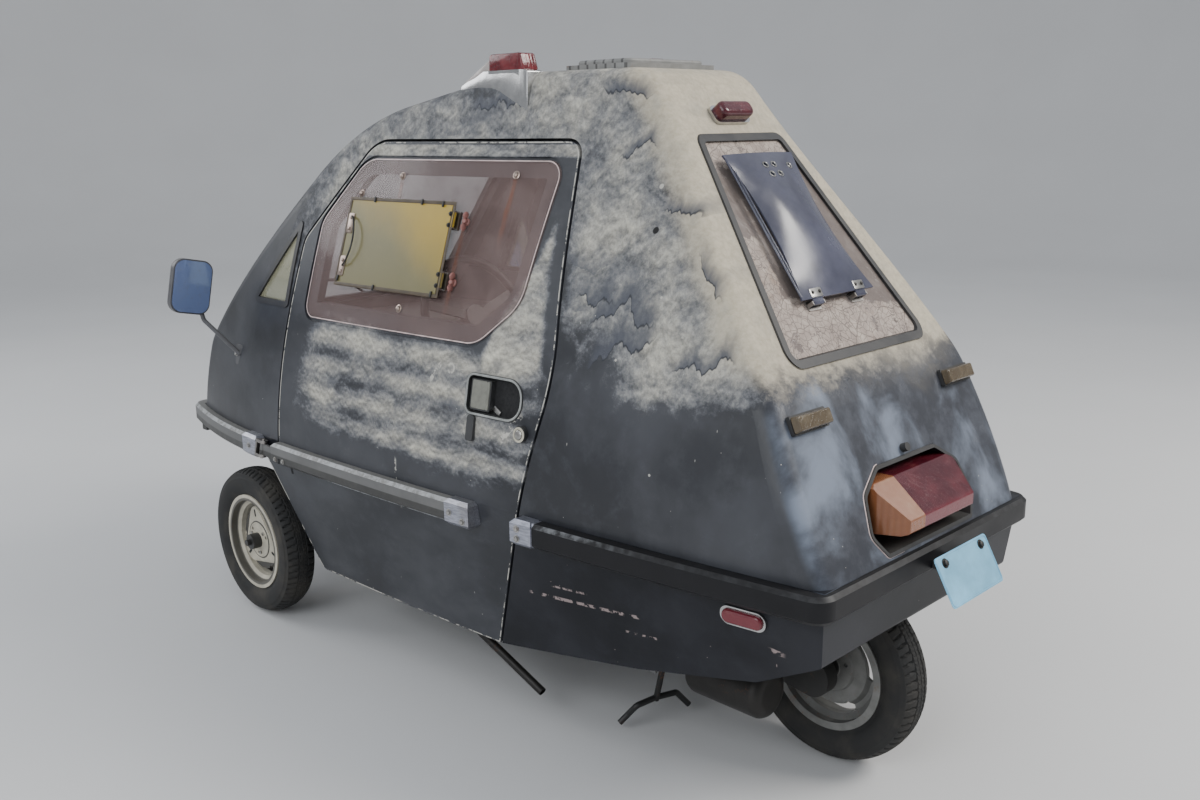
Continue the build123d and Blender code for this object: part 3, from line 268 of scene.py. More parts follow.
# Paint of the moulded body
def hems(g, table, seed):
    """Jagged lower hems of a darker skin on the left side, with their fine dark edge. Rows hold the y at both ends,
    the height, its rise along the car and the height of the fade above."""
    y, z = g.axis("Y"), g.axis("Z")
    teeth = g.cells(1.0, vector=g.scaled((0, 21, 2.5), (0, seed, 0)))
    small_teeth = g.cells(1.0, vector=g.scaled((0, 95, 12), (0, seed + 4, 0)))
    wander = g.noise(1.0, 4, 0.65, g.scaled((0, 11, 4), (0, seed + 2, 0)))
    drop = teeth * -0.05 - small_teeth * 0.014 + wander * 0.1
    skin = edge = None
    for start, end, height, rise, fade in table:
        line = (y - start) * rise + (height - 0.02)
        above = z - (line + drop)
        inside = g.between(y, start, end, 0.016)
        this_skin = inside * (g.steps(above, 0.0, 0.003) * g.falls(above, 0.0, fade))
        this_edge = inside * g.between(above, 0.001, 0.005, 0.0015)
        skin = this_skin if skin is None else g.most(skin, this_skin)
        edge = this_edge if edge is None else g.most(edge, this_edge)
    left = g.steps(g.axis("X"), 0.0, 0.05)
    return skin * left, edge * left


def lit_dust(g, amount, grit, puffs, puffs_above):
    """The dust's tone, multiplied by painted highlights on the puffs' tops and painted shade under them, as lit from
    above.
    """
    dust = g.ramp(amount + (grit - 0.5) * 0.09, [(0.46, (0.05, 0.054, 0.066)), (0.52, (0.115, 0.118, 0.127)),
                                                 (0.58, (0.2, 0.2, 0.197)), (0.65, (0.33, 0.318, 0.283)),
                                                 (0.74, (0.46, 0.438, 0.37))])
    painted_relief_light = g.clamped((puffs - puffs_above) * 4.5, 0.5)
    return g.blend(1.0, dust, g.blend(painted_relief_light, grey(0.62), grey(1.35)), "MULTIPLY")


def creases(g, seed, stretch, moved, broad):
    """Soft-edged folds of the bloom."""
    turn = g.maths("FRACT", g.axis("Z") * 8.5 + broad * 3.0 + g.noise(24, 3, 0.6, moved) * 0.5)
    crease = g.steps(turn, 0.0, 0.03) * g.falls(turn, 0.0, 0.55)
    return crease * g.steps(g.noise(5.5, 4, 0.6, g.scaled(stretch, (seed + 7, 1, 2))), 0.54, 0.64)


def rear_face(g, seed, colour, broad, puffs, fine):
    """The rear face: slate with paler clouds; cream above the knee and along the ridge, which is dust and painted
    sunlight together.
    """
    z = g.axis("Z")
    rear = g.steps(rear_depth(g), -0.03, -0.006)
    clouds = g.noise(5.5, 6, 0.55, g.scaled((1, 1, 0.8), (2.2 + seed, 0, 0)), warp=0.5)
    low_left = g.steps(z, 0.9, 0.66) * 0.12 + g.steps(g.axis("X"), -0.2, 0.38) * 0.1
    cloudy = g.steps(clouds + low_left, 0.6, 0.82)
    slate = g.blend(g.steps(puffs, 0.4, 0.65), (0.03, 0.033, 0.043), (0.06, 0.066, 0.083))
    slate = g.blend(cloudy, slate, (0.2, 0.235, 0.3))
    cream_dust_and_sunlight = g.blend(g.steps(fine, 0.3, 0.7), (0.42, 0.37, 0.275), (0.56, 0.5, 0.385))
    cream_dust_and_sunlight = g.blend(g.steps(puffs, 0.5, 0.72) * 0.35, cream_dust_and_sunlight, (0.24, 0.23, 0.2))
    # Above the knee the cream is dust and painted sunlight.
    high = g.steps(z + (puffs - 0.5) * 0.18, 0.862, 0.925)
    slate = g.blend(high * 0.9, slate, cream_dust_and_sunlight)
    colour = g.blend(rear * 0.92, colour, slate)
    # Along the ridge the cream is dust and painted sunlight.
    sunlit_ridge = g.between(rear_depth(g) + (puffs - 0.5) * 0.1, -0.06, -0.005, 0.035)
    sunlit_ridge = sunlit_ridge * g.steps(z + (broad - 0.5) * 0.4, 0.85, 1.0)
    return g.blend(sunlit_ridge * 0.88, colour, cream_dust_and_sunlight)


def chips_and_marks(g, seed, marks):
    """Where the paint is gone: chips, small upright ticks and the piece's own marks."""
    spots = g.cells(44, vector=g.scaled(1, (seed, 0.3, 0)))
    pick = g.noise(9, 3, 0.6, g.scaled(1, (4 + seed, 0, 0)))
    chip = g.falls(spots, 0.04, 0.06) * g.steps(pick, 0.56, 0.62)
    ticks = g.cells(30, vector=g.scaled((1, 1, 0.22), (seed + 5, 0.3, 0), (0.35, 0, 0)))
    wear = g.most(chip, g.falls(ticks, 0.02, 0.035) * g.steps(pick, 0.5, 0.56))
    for mark in marks(g):
        wear = g.most(wear, mark)
    return wear


def body_paint(name, dark, mid, stretch, marks, zone, seed, skins=(), worn=(0.55, 0.53, 0.48), shine=0.4):
    """Chalked paint: dark ground, puffs of bloom and dust with painted light from above, jagged hems, chips and small
    scratches.
    """
    g = Graph(name)
    here = (seed, seed * 0.7, seed * 1.3)
    moved = g.warped(g.scaled(stretch, here), 7, 0.04)
    higher = g.warped(g.scaled(stretch, (here[0], here[1], here[2] + 0.009)), 7, 0.04)
    broad = g.noise(3.4, 5, 0.55, moved)
    puffs, puffs_above = g.noise(15, 9, 0.7, moved), g.noise(15, 9, 0.7, higher)
    fine = g.noise(70, 7, 0.74, moved)
    grit = g.noise(210, 4, 0.7)
    amount = broad * 0.42 + puffs * 0.42 + fine * 0.16 + zone(g)
    ground = g.blend(g.steps(broad, 0.35, 0.68), dark, mid)
    ground = g.blend(g.steps(puffs, 0.45, 0.75) * 0.3, ground, shade(mid, 1.6))
    cover_share = g.steps(amount, 0.44, 0.53)
    colour = g.blend(cover_share, ground, lit_dust(g, amount, grit, puffs, puffs_above))
    crease = creases(g, seed, stretch, moved, broad)
    colour = g.blend(crease * cover_share * 0.6, colour, (0.075, 0.08, 0.098))
    colour = rear_face(g, seed, colour, broad, puffs, fine)
    height = puffs * cover_share * 0.9 + fine * cover_share * 0.5 + fine * 0.15 + grit * 0.08
    if skins:
        skin, edge = hems(g, skins, seed)
        colour = g.blend(skin * 0.9, colour, (0.06, 0.066, 0.086))
        colour = g.blend(edge * 0.7, colour, (0.012, 0.013, 0.018))
        height = height + skin * 0.4
    colour = g.blend(chips_and_marks(g, seed, marks) * 0.8, colour, worn)
    # A small hole, painted near black as the shade inside it, and dented by the bump.
    hole = g.spot(0.594, 1.153, 0.0075)
    colour = g.blend(hole, colour, (0.004, 0.004, 0.004))
    colour = g.blend(g.outward(), ground, colour)
    rough = cover_share * 0.26 + puffs * 0.1 + 0.36
    return g.finish(colour, rough, g.bump(height + hole * -3.0, 0.45, 0.0022), Specular_IOR_Level=shine)


def upper_zone(g):
    """How much dust lies where on the fixed upper shell; its thinning below the waist is partly painted shade."""
    z, y = g.axis("Z"), g.axis("Y")
    high = g.steps(z, 0.79, 1.01, -0.16, 0.085)
    low_rear = g.between(y, 0.6, 0.95, 0.07) * g.between(z, 0.82, 0.96, 0.04)
    by_door = g.between(y, 0.33, 0.42, 0.03) * g.steps(z, 1.36, 1.26)
    nose = g.steps(y, -0.66, -0.42, -0.16, 0.0)
    return high + low_rear * 0.13 - by_door * 0.1 + nose


def door_zone(g):
    """Dust on the door: rows below the window and a patch behind it, little elsewhere."""
    z, y = g.axis("Z"), g.axis("Y")
    slant = z + y * 0.06
    band = g.between(slant, 0.61, 0.89, 0.04) * g.between(y, -0.44, 0.4, 0.09)
    rows = (g.wave(4.2, g.scaled((0, 0.1, 1)), 3.0, "Z") - 0.5) * 0.1
    back = y + z * 0.16
    wedge = g.steps(z, 0.86, 1.17, 0.345, 0.505)
    patch = g.between(z, 0.855, 1.17, 0.03) * (g.steps(back - wedge, 0.0, 0.03) * g.steps(back, 0.55, 0.515))
    edge = g.steps(z, 1.284, 1.296) * g.steps(z, 1.322, 1.316)
    return band * 0.23 + band * rows + patch * 0.27 + edge * 0.24 - 0.15


def lower_zone(g):
    return g.steps(g.axis("Z"), 0.5, 0.2) * 0.02 - 0.24


def upper_marks(g):
    return [g.spot(*row) for row in (
        (0.575, 1.237, 0.0055), (0.652, 1.03, 0.003), (0.58, 0.905, 0.003), (0.70, 0.70, 0.003))]


def scrapes(g, rows):
    return [g.scrape(*row) for row in rows]


def door_marks(g):
    ring = g.spot(0.125, 0.835, 0.014, 0.3) * (1.0 - g.spot(0.125, 0.835, 0.009, 0.3))
    return [ring * g.steps(g.noise(90, 3, 0.6), 0.4, 0.5)] + scrapes(g, (
        ((0.09, 0.842), (0.06, 0.8), 0.006, 120, 0.45), ((0.355, 0.765), (0.3, 0.7), 0.009, 90, 0.5),
        ((-0.05, 0.6), (-0.05, 0.48), 0.004, 70, 0.5)))


def lower_marks(g):
    return scrapes(g, (
        ((0.36, 0.366), (0.66, 0.387), 0.0045, 60, 0.5), ((0.43, 0.398), (0.52, 0.404), 0.003, 80, 0.45),
        ((0.96, 0.404), (0.985, 0.4), 0.006, 90, 0.4), ((0.62, 0.345), (0.7, 0.35), 0.003, 90, 0.5)))


def dusty(g, share, colour):
    """Dust that settles on faces that look up, broken by noise."""
    cloud = g.noise(9, 6, 0.6, warp=0.3)
    fine = g.noise(70, 4, 0.6)
    amount = g.steps(g.facing_up(), 0.15, 0.95) * 0.75 + cloud * 0.4
    return g.blend(amount * share * g.steps(fine, 0.2, 0.8, 0.5, 1.0), colour, (0.4, 0.385, 0.34))


def plain_paint(name, base, rough=0.55, share=0.25, grain=0.25, bright=None, wear=None, shine=0.5, low=None):
    """Painted or moulded trim: one mask picks out bare metal, another paints pale broken highlights on edges, a third
    paints shade.
    """
    g = Graph(name)
    cloud = g.noise(7, 7, 0.6, warp=0.2)
    fine = g.noise(60, 5, 0.6)
    brushed = g.noise(90, 4, 0.6, g.scaled((3, 0.5, 3)))
    colour = g.blend(g.steps(cloud, 0.3, 0.7), shade(base, 0.75), shade(base, 1.25))
    roughness = g.clamped(g.steps(cloud, 0.2, 0.8) * 0.22, rough - 0.1)
    metallic = 0.0
    # A mask paints the lower part darker as shade.
    if low:
        colour = g.blend(low(g), colour, shade(base, 0.22))
    # Pale broken patches on the edges that a mask picks out: painted highlights on the rails.
    if wear:
        worn_and_highlight_share = wear(g) * g.steps(fine * 0.5 + cloud * 0.5, 0.42, 0.6)
        colour = g.blend(worn_and_highlight_share, colour, (0.42, 0.44, 0.46))
    if bright:
        mask = bright(g)
        plate = g.blend(g.steps(brushed, 0.3, 0.75), (0.27, 0.28, 0.33), (0.48, 0.49, 0.56))
        plate = g.blend(g.steps(cloud, 0.55, 0.75) * 0.5, plate, (0.16, 0.13, 0.1))
        colour = g.blend(mask, colour, plate)
        roughness = g.blend(mask, roughness, grey(0.36))
        metallic = mask * 0.8
    colour = dusty(g, share, colour)
    height = fine * grain + cloud * 0.3
    return g.finish(colour, roughness, g.bump(height, 0.3, 0.0008), metallic, Specular_IOR_Level=shine)


def rusty(name, metal_colour, amount=0.5, metal=1.0, rough=0.4, dark=None):
    """Bare, plated or painted steel with brown rust bloom and pits; a mask picks out dark parts."""
    g = Graph(name)
    cloud = g.noise(16, 8, 0.65, warp=0.4)
    pits = g.noise(160, 5, 0.7)
    rust_share = g.steps(cloud * 0.7 + pits * 0.3, 0.66 - 0.28 * amount, 0.8 - 0.28 * amount)
    rust = g.ramp(pits, [(0.2, (0.035, 0.016, 0.008)), (0.5, (0.16, 0.06, 0.022)), (0.8, (0.34, 0.14, 0.05))])
    base = g.blend(g.steps(g.noise(28, 5, 0.6), 0.3, 0.75), shade(metal_colour, 0.72), metal_colour)
    if dark:
        base = g.blend(dark(g), base, (0.03, 0.029, 0.028))
    colour = g.blend(rust_share, base, rust)
    roughness = g.clamped(rust_share * 0.42, rough)
    height = pits * 0.4 + rust_share * 0.5
    return g.finish(colour, roughness, g.bump(height, 0.4, 0.0007), g.steps(rust_share, 0.2, 0.8, metal, 0.0))


def pane(name, tint, alpha, rough=0.06, haze=(0.6, 0.58, 0.5), haze_share=0.25, streaks=(), films=None, glow=None):
    """A see-through sheet: tinted, with a haze of dust, scuffs, rust streaks under screws and films stuck on it."""
    g = Graph(name)
    cloud = g.noise(6, 7, 0.6, warp=0.3)
    fine = g.noise(42, 5, 0.6)
    scuffs = g.noise(120, 4, 0.7, g.scaled((1, 1, 0.25), turn=(0.3, 0, 0)))
    amount = g.steps(cloud * 0.75 + fine * 0.17 + scuffs * 0.08, 0.42, 0.68) * haze_share
    colour = g.blend(amount, tint, haze)
    # Painted light: a brighter tone where the sheet was lit.
    if glow:
        share, glow_colour = glow(g)
        colour = g.blend(share, colour, glow_colour)
    opacity = g.clamped(amount * 0.75, alpha)
    y, z = g.axis("Y"), g.axis("Z")
    for y0, top, bottom, width in streaks:
        wander = (g.noise(16, 3, 0.6, g.scaled((1, 1, 0.5), (y0 * 9, 0, 0))) - 0.5) * (width * 1.6)
        across = g.maths("ABSOLUTE", y - y0 + wander)
        along = g.steps(z, bottom, (bottom + top) / 2) * g.falls(z, top, top + 0.004)
        spread = g.steps(z, top, bottom, width * 0.45, width)
        streak = g.maths("LESS_THAN", across, spread) * along * g.steps(fine, 0.25, 0.6, 0.5, 1.0)
        streak = streak * g.steps(across, width * 0.2, width, 1.0, 0.3)
        colour = g.blend(streak * 0.8, colour, (0.21, 0.07, 0.03))
        opacity = g.clamped(opacity, streak * 0.35)
    roughness = g.clamped(amount * 0.8, rough)
    normal = None
    if films:
        film, height = films(g)
        tone = g.blend(g.steps(g.noise(34, 5, 0.6), 0.3, 0.75), (0.29, 0.235, 0.205), (0.47, 0.4, 0.345))
        stain = g.steps(g.noise(11, 5, 0.65, g.scaled(1, (3, 0, 1))), 0.55, 0.75)
        tone = g.blend(stain * 0.6, tone, (0.24, 0.15, 0.1))
        colour = g.blend(film, colour, tone)
        opacity = g.most(opacity, film)
        roughness = g.most(roughness, film * 0.65)
        normal = g.bump(height, 0.5, 0.0009)
    return g.finish(colour, roughness, normal, 0.0, Alpha=opacity, IOR=1.49)


def rear_films(g):
    """Old films on the rear window, cracked and flaking: along its top, its lower left edge and its foot."""
    x, z = g.axis("X"), g.axis("Z")
    ragged = (g.noise(24, 5, 0.65) - 0.5) * 0.05
    top = g.steps(z + ragged, 1.268, 1.272)
    foot_z = z + ragged + x * -0.12
    foot = g.falls(foot_z, 1.0, 1.006)
    strip = g.steps(x + ragged + (z - 1.0) * 0.28, 0.155, 0.16) * g.falls(z + ragged, 1.13, 1.136)
    film = g.most(top, g.most(foot, strip))
    crack = g.cells(70, "DISTANCE_TO_EDGE", g.warped(g.where, 30, 0.012))
    wide_crack = g.cells(16, "DISTANCE_TO_EDGE", g.warped(g.scaled(1, (0, 0, 3)), 12, 0.03))
    lines = g.least(g.steps(crack, 0.01, 0.06), g.steps(wide_crack, 0.006, 0.02))
    flakes = g.steps(g.noise(19, 6, 0.7, g.scaled(1, (7, 0, 0))), 0.36, 0.4)
    cover_share = film * flakes * g.steps(lines, 0.0, 1.0, 0.35, 1.0)
    return cover_share, cover_share + lines * 0.3


def flap_painted_light(g):
    """Painted light: the sheet brighter yellow towards its upper rear corner, where it was lit."""
    rise = g.axis("Z") + g.axis("Y") * 0.45 + (g.noise(5, 4, 0.55) - 0.5) * 0.12
    return g.steps(rise, 0.99, 1.16, 0.0, 0.95), (0.41, 0.275, 0.022)


def lens(name, deep, light, alpha=0.92, ribs=0.0, low=None):
    """A lamp lens: coloured, glossy, a little crazed and dirty; a mask can paint a lighter, lit face, and ribs get
    painted shade.
    """
    g = Graph(name)
    cloud = g.noise(22, 6, 0.6, warp=0.3)
    crack = g.cells(90, "DISTANCE_TO_EDGE")
    colour = g.blend(g.steps(cloud, 0.35, 0.75), deep, light)
    # A mask paints a face lighter, as lit.
    if low:
        colour = g.blend(low(g), colour, shade(light, 1.5))
    colour = g.blend(g.steps(cloud, 0.58, 0.8) * 0.14, colour, (0.4, 0.36, 0.28))
    height = g.steps(crack, 0.0, 0.05) * 0.3
    if ribs:
        # The ribs' bands are painted darker as shade.
        ridges = g.wave(ribs, detail=0)
        height = height + ridges * 1.2
        colour = g.blend(ridges * 0.16, colour, shade(deep, 0.6))
    roughness = cloud * 0.3 + 0.05
    return g.finish(colour, roughness, g.bump(height, 0.3, 0.0012), 0.0, Alpha=alpha, Coat_Weight=0.3, IOR=1.5)


def rubber(name, base=(0.018, 0.018, 0.019), dust=(0.2, 0.18, 0.15), share=0.35, rough=0.72):
    """Aged rubber: grey bloom, dust and fine pores."""
    g = Graph(name)
    cloud = g.noise(11, 7, 0.62)
    pores = g.noise(320, 3, 0.6)
    colour = g.blend(g.steps(cloud, 0.4, 0.75) * share, base, dust)
    height = pores * 0.5 + cloud * 0.3
    return g.finish(colour, g.steps(cloud, 0.3, 0.8, rough - 0.1, rough + 0.16), g.bump(height, 0.3, 0.0006))


def cover(name, base, worn):
    """Grained seat cover, paler where it has worn."""
    g = Graph(name)
    cloud = g.noise(8, 6, 0.6)
    grain = g.cells(420, "F1", random_share=0.9)
    crease = g.noise(30, 8, 0.7, warp=0.8)
    colour = g.blend(g.steps(cloud, 0.45, 0.75), base, worn)
    height = grain * 0.5 + crease * 0.5
    return g.finish(colour, g.steps(cloud, 0.3, 0.8, 0.5, 0.72), g.bump(height, 0.35, 0.0009), Sheen_Weight=0.15)


def plain_material(name, colour, rough=0.5, metal=0.0, spread=0.25):
    """A small piece's finish: mottled, finely grained."""
    g = Graph(name)
    cloud = g.noise(30, 5, 0.6)
    fine = g.noise(150, 4, 0.6)
    tone = g.blend(g.steps(cloud, 0.3, 0.7), shade(colour, 1 - spread), shade(colour, 1 + spread))
    return g.finish(tone, g.steps(fine, 0.2, 0.8, rough - 0.08, rough + 0.12), g.bump(fine, 0.2, 0.0005), metal)


def rail_shine(low, high):
    """A mask of a length along the car, on both sides."""
    return lambda g: g.between(g.axis("Y"), low, high, 0.0006)


def top_edge(g):
    """The top chamfer of a rail, where pale highlights are painted."""
    return g.between(g.facing_up(), 0.45, 0.9, 0.1) * 0.75


def rail_foot(g):
    """The lower half of a rail, painted darker as shade."""
    return g.falls(g.axis("Z"), 0.5185, 0.5215)


def rail_highlights(g):
    """Painted highlights along a rail's top chamfer and its foot."""
    foot = g.between(g.axis("Z"), 0.4945, 0.4985, 0.0008) * g.between(g.axis("Y"), -0.32, 0.15, 0.02)
    return g.most(top_edge(g), foot)


def painted_slat_shade(g):
    """Painted shade between slats across the vent, as dark lines."""
    return g.steps(g.maths("FRACT", g.axis("Y") * 36), 0.76, 0.8) * 0.75


def hub_mask(y0):
    """The hub's cap, and the channel behind the disc, of a wheel whose axle lies at a length."""
    def mask(g):
        radius = g.side_distance(y0, 0.211)
        out = g.maths("ABSOLUTE", g.axis("X"))
        cap = g.falls(radius, 0.0235, 0.0245)
        if y0 > 0:
            return cap
        channel = g.between(radius, 0.1165, 0.1275, 0.0012) * 0.85
        dish = g.between(radius, 0.051, 0.1, 0.001) * g.steps(out, 0.41, 0.412)
        return g.most(cap * g.steps(out, 0.4742, 0.4746), g.most(channel, dish * 0.93))
    return mask


upper_skins = [(0.375, 0.485, 1.425, 0.02, 0.05), (0.45, 0.54, 1.03, -0.25, 0.075), (0.5, 0.65, 0.985, 0.02, 0.09),
               (0.52, 0.655, 0.9, 0.5, 0.07), (0.715, 0.775, 1.1, -0.9, 0.05), (0.02, 0.16, 1.40, 0.0, 0.04),
               (0.46, 0.53, 1.31, 0.1, 0.04), (0.6, 0.68, 1.2, -0.1, 0.035), (0.72, 0.84, 0.9, 0.3, 0.05)]
shell_dark, shell_mid = (0.02, 0.0215, 0.026), (0.052, 0.0545, 0.063)
panel_streaks = [(-0.175, 1.238, 1.11, 0.008), (0.191, 1.246, 1.08, 0.009), (0.071, 1.15, 0.9, 0.006),
                 (-0.3, 1.19, 1.13, 0.005)]
paints = {}


def paint(kind, name, *numbers, **named):
    paints[name] = kind(name, *numbers, **named)


paint(body_paint, "upper_shell", shell_dark, shell_mid, (1, 1, 0.95), upper_marks, upper_zone, 0.0, upper_skins)
paint(body_paint, "door_shell", shell_dark, shell_mid, (1, 0.85, 1.3), door_marks, door_zone, 3.1)
# The lower shell's near-black ground is partly painted shade.
paint(body_paint, "lower_shell", (0.0075, 0.0082, 0.011), (0.02, 0.021, 0.0265), (1, 1, 1.3), lower_marks,
      lower_zone, 5.7, worn=(0.34, 0.27, 0.26), shine=0.25)
paint(pane, "door_window", (0.3, 0.205, 0.19), 0.22, 0.09, (0.5, 0.41, 0.385), 0.16, panel_streaks)
paint(pane, "windscreen_glass", (0.2, 0.22, 0.22), 0.22, 0.03, (0.5, 0.5, 0.46), 0.2)
paint(pane, "rear_glass", (0.2, 0.165, 0.15), 0.82, 0.12, (0.34, 0.3, 0.28), 0.3, films=rear_films)
paint(pane, "quarter_glass", (0.36, 0.35, 0.24), 0.5, 0.04, (0.55, 0.53, 0.42), 0.3)
paint(rubber, "gasket", (0.022, 0.022, 0.024), share=0.12, rough=0.45)
# The rails' pale top chamfers and foot lines are painted highlights and their darker lower halves painted shade; the
# rear band's pale top chamfer is a painted highlight and its near-black partly painted shade.
paint(plain_paint, "nose_rail", (0.085, 0.086, 0.087), rough=0.42, share=0.3, bright=rail_shine(-0.719, -0.6),
      wear=rail_highlights, low=rail_foot)
paint(plain_paint, "rear_band", (0.007, 0.007, 0.009), rough=0.42, share=0.03, shine=0.25,
      bright=rail_shine(0.3, 0.425), wear=lambda g: top_edge(g) * g.steps(g.axis("Y"), 0.75, 0.42, 0.05, 0.5))
paint(plain_paint, "door_rail", (0.1, 0.1, 0.1), rough=0.4, share=0.3, bright=rail_shine(0.1535, 0.4),
      wear=rail_highlights, low=rail_foot)
paint(rubber, "tyre", (0.013, 0.013, 0.013), (0.1, 0.09, 0.075), 0.5, 0.78)
paint(rusty, "rim", (0.56, 0.52, 0.42), 0.22, 0.0, 0.45, hub_mask(-0.773))
# The rear rim's dark grey is partly painted shade.
paint(rusty, "rim_rear", (0.22, 0.22, 0.21), 0.4, 0.3, 0.45, hub_mask(0.862))
paint(rusty, "chassis_steel", (0.025, 0.024, 0.023), 0.35, 0.0, 0.5)
paint(rusty, "knuckle_steel", (0.32, 0.31, 0.3), 0.6)
paint(rusty, "engine_metal", (0.26, 0.26, 0.26), 0.3, 0.8, 0.5)
paint(rusty, "exhaust_steel", (0.03, 0.028, 0.026), 0.3, 0.5, 0.5)
paint(rusty, "stand_steel", (0.03, 0.03, 0.03), 0.45, 0.3, 0.5)
paint(cover, "seat_cover", (0.035, 0.032, 0.03), (0.1, 0.09, 0.08))
paint(plain_paint, "dash_plastic", (0.025, 0.025, 0.027), rough=0.6, share=0.4)
paint(plain_paint, "steering_plastic", (0.02, 0.02, 0.021), rough=0.35, share=0.15)
paint(pane, "side_flap_sheet", (0.165, 0.145, 0.06), 0.93, 0.3, (0.32, 0.26, 0.1), 0.08, glow=flap_painted_light)
paint(plain_paint, "rear_flap_sheet", (0.052, 0.055, 0.092), rough=0.2, share=0.08, grain=0.05)
paint(rusty, "small_hinge", (0.42, 0.4, 0.38), 0.35, 1.0, 0.35)
paint(plain_paint, "lamp_housing", (0.02, 0.02, 0.022), rough=0.5, share=0.12)
paint(rusty, "lamp_bezel", (0.62, 0.62, 0.62), 0.12, 1.0, 0.2)
# The red lens's lower face is painted lighter, as lit.
paint(lens, "red_lens", (0.06, 0.007, 0.014), (0.115, 0.012, 0.02), 0.94,
      low=lambda g: g.steps(g.axis("Z"), 0.632, 0.62) * 0.8)
paint(lens, "amber_lens", (0.27, 0.098, 0.042), (0.31, 0.13, 0.06), 0.93, 60)
paint(lens, "clear_lens", (0.55, 0.55, 0.53), (0.75, 0.75, 0.72), 0.55, 40)
paint(lens, "faded_lens", (0.085, 0.062, 0.036), (0.135, 0.105, 0.066), 0.93)
paint(plain_paint, "plate_sheet", (0.23, 0.54, 0.76), rough=0.4, share=0.12, grain=0.05)
paint(plain_paint, "plate_bracket", (0.02, 0.02, 0.02), rough=0.5)
paint(plain_paint, "mirror_shell", (0.07, 0.07, 0.078), rough=0.4, share=0.3)
paint(plain_paint, "handle_plastic", (0.03, 0.031, 0.033), rough=0.4, share=0.15)
paint(rusty, "wiper_metal", (0.03, 0.03, 0.03), 0.2, 0.3, 0.4)
paint(rusty, "vent_plastic", (0.25, 0.25, 0.24), 0.3, 0.0, 0.5, painted_slat_shade)


# The mirror's glass: its blue is a painted reflection of the sky, with grey spots.
def mirror_face():
    g = Graph("mirror_glass")
    spots = g.noise(60, 5, 0.6)
    colour = g.blend(g.steps(spots, 0.5, 0.8) * 0.3, (0.3, 0.4, 0.72), (0.3, 0.32, 0.36))
    return g.finish(colour, g.steps(spots, 0.4, 0.9, 0.04, 0.3), None, 0.6)


def worn_line(name, colour, cover_share):
    """A painted edge worn to its pale ground, broken into dashes."""
    g = Graph(name)
    breaks = g.noise(38, 6, 0.7, warp=0.6)
    large = g.noise(6, 3, 0.6)
    share = g.steps(breaks * 0.6 + large * 0.4, 0.56 - 0.2 * cover_share, 0.6 - 0.2 * cover_share)
    fine = g.noise(300, 3, 0.6)
    return g.finish(g.blend(fine, shade(colour, 0.6), colour), 0.7, g.bump(fine, 0.3, 0.0004), 0.0, Alpha=share)


paints["mirror_glass"] = mirror_face()
roof_paints = {"red": lens("roof_red", (0.1, 0.008, 0.013), (0.24, 0.03, 0.035), 0.96, 34),
               "clear": lens("roof_clear", (0.4, 0.36, 0.34), (0.66, 0.6, 0.56), 0.8, 46)}
disc_paint = rusty("wheel_disc_paint", (0.56, 0.52, 0.42), 0.2, 0.0, 0.45)
bronze = rusty("bronze_screw", (0.45, 0.36, 0.31), 0.22, 1.0, 0.3)
dark_bolt = rusty("dark_bolt", (0.05, 0.048, 0.045), 0.25, 0.6, 0.5)
bright_bolt = rusty("bright_bolt", (0.5, 0.49, 0.47), 0.3, 1.0, 0.3)
wing_pink = plain_material("wing_plastic", (0.26, 0.11, 0.095), 0.4)
black_wire = plain_material("black_wire", (0.02, 0.019, 0.018), 0.45)
flap_frame = plain_material("flap_frame", (0.07, 0.05, 0.03), 0.5)
pale_edge = plain_material("sheet_edge", (0.62, 0.5, 0.48), 0.3)
pale_trim = plain_material("pale_trim", (0.3, 0.31, 0.3), 0.45)
olive_grey = plain_material("lever_face", (0.17, 0.17, 0.145), 0.4)
cream_metal = plain_material("cream_metal", (0.5, 0.47, 0.38), 0.5)
door_wear = worn_line("door_edge_wear", (0.6, 0.58, 0.52), 0.5)
gap_shade = plain_material("gap_shade", (0.008, 0.008, 0.009), 0.8)


# Finish of the frame's nodes
def smooth_shade(mesh):
    mesh.polygons.foreach_set("use_smooth", [True] * len(mesh.polygons))


slots = {row["node"]: row["material_slot"] for row in frame["record"]["subparts"]}
for name, thing in nodes.items():
    thing.data.materials.clear()
    thing.data.materials.append(paints[slots[name]])
    smooth_shade(thing.data)
    thing.data.update()


# Objects and meshes
def add_object(name, data):
    thing = bpy.data.objects.new(name, data)
    bpy.context.scene.collection.objects.link(thing)
    return thing


def add_mesh(name, verts, faces, material=None, smooth=False):
    mesh = bpy.data.meshes.new(name)
    mesh.from_pydata(verts, [], faces)
    mesh.validate()
    if material:
        mesh.materials.append(material)
    if smooth:
        smooth_shade(mesh)
    return add_object(name, mesh)


def angles(count):
    """Equal steps all the way round."""
    return [2 * math.pi * i / count for i in range(count)]


def quads(rows, count, closed=False):
    """Faces between rows of points that go round."""
    faces = []
    for row in range(rows if closed else rows - 1):
        a, b = row * count, (row + 1) % rows * count
        faces += [(a + i, a + (i + 1) % count, b + (i + 1) % count, b + i) for i in range(count)]
    return faces


def caps(rows, count):
    """Faces that close the first and the last row."""
    return [tuple(reversed(range(count))), tuple((rows - 1) * count + i for i in range(count))]


# Stage: a pale floor that curves up all round, so that no horizon shows
def floor_material():
    g = Graph("studio_floor")
    return g.finish(g.blend(g.noise(1.2, 5, 0.5), grey(0.6), grey(0.66)), 0.8)


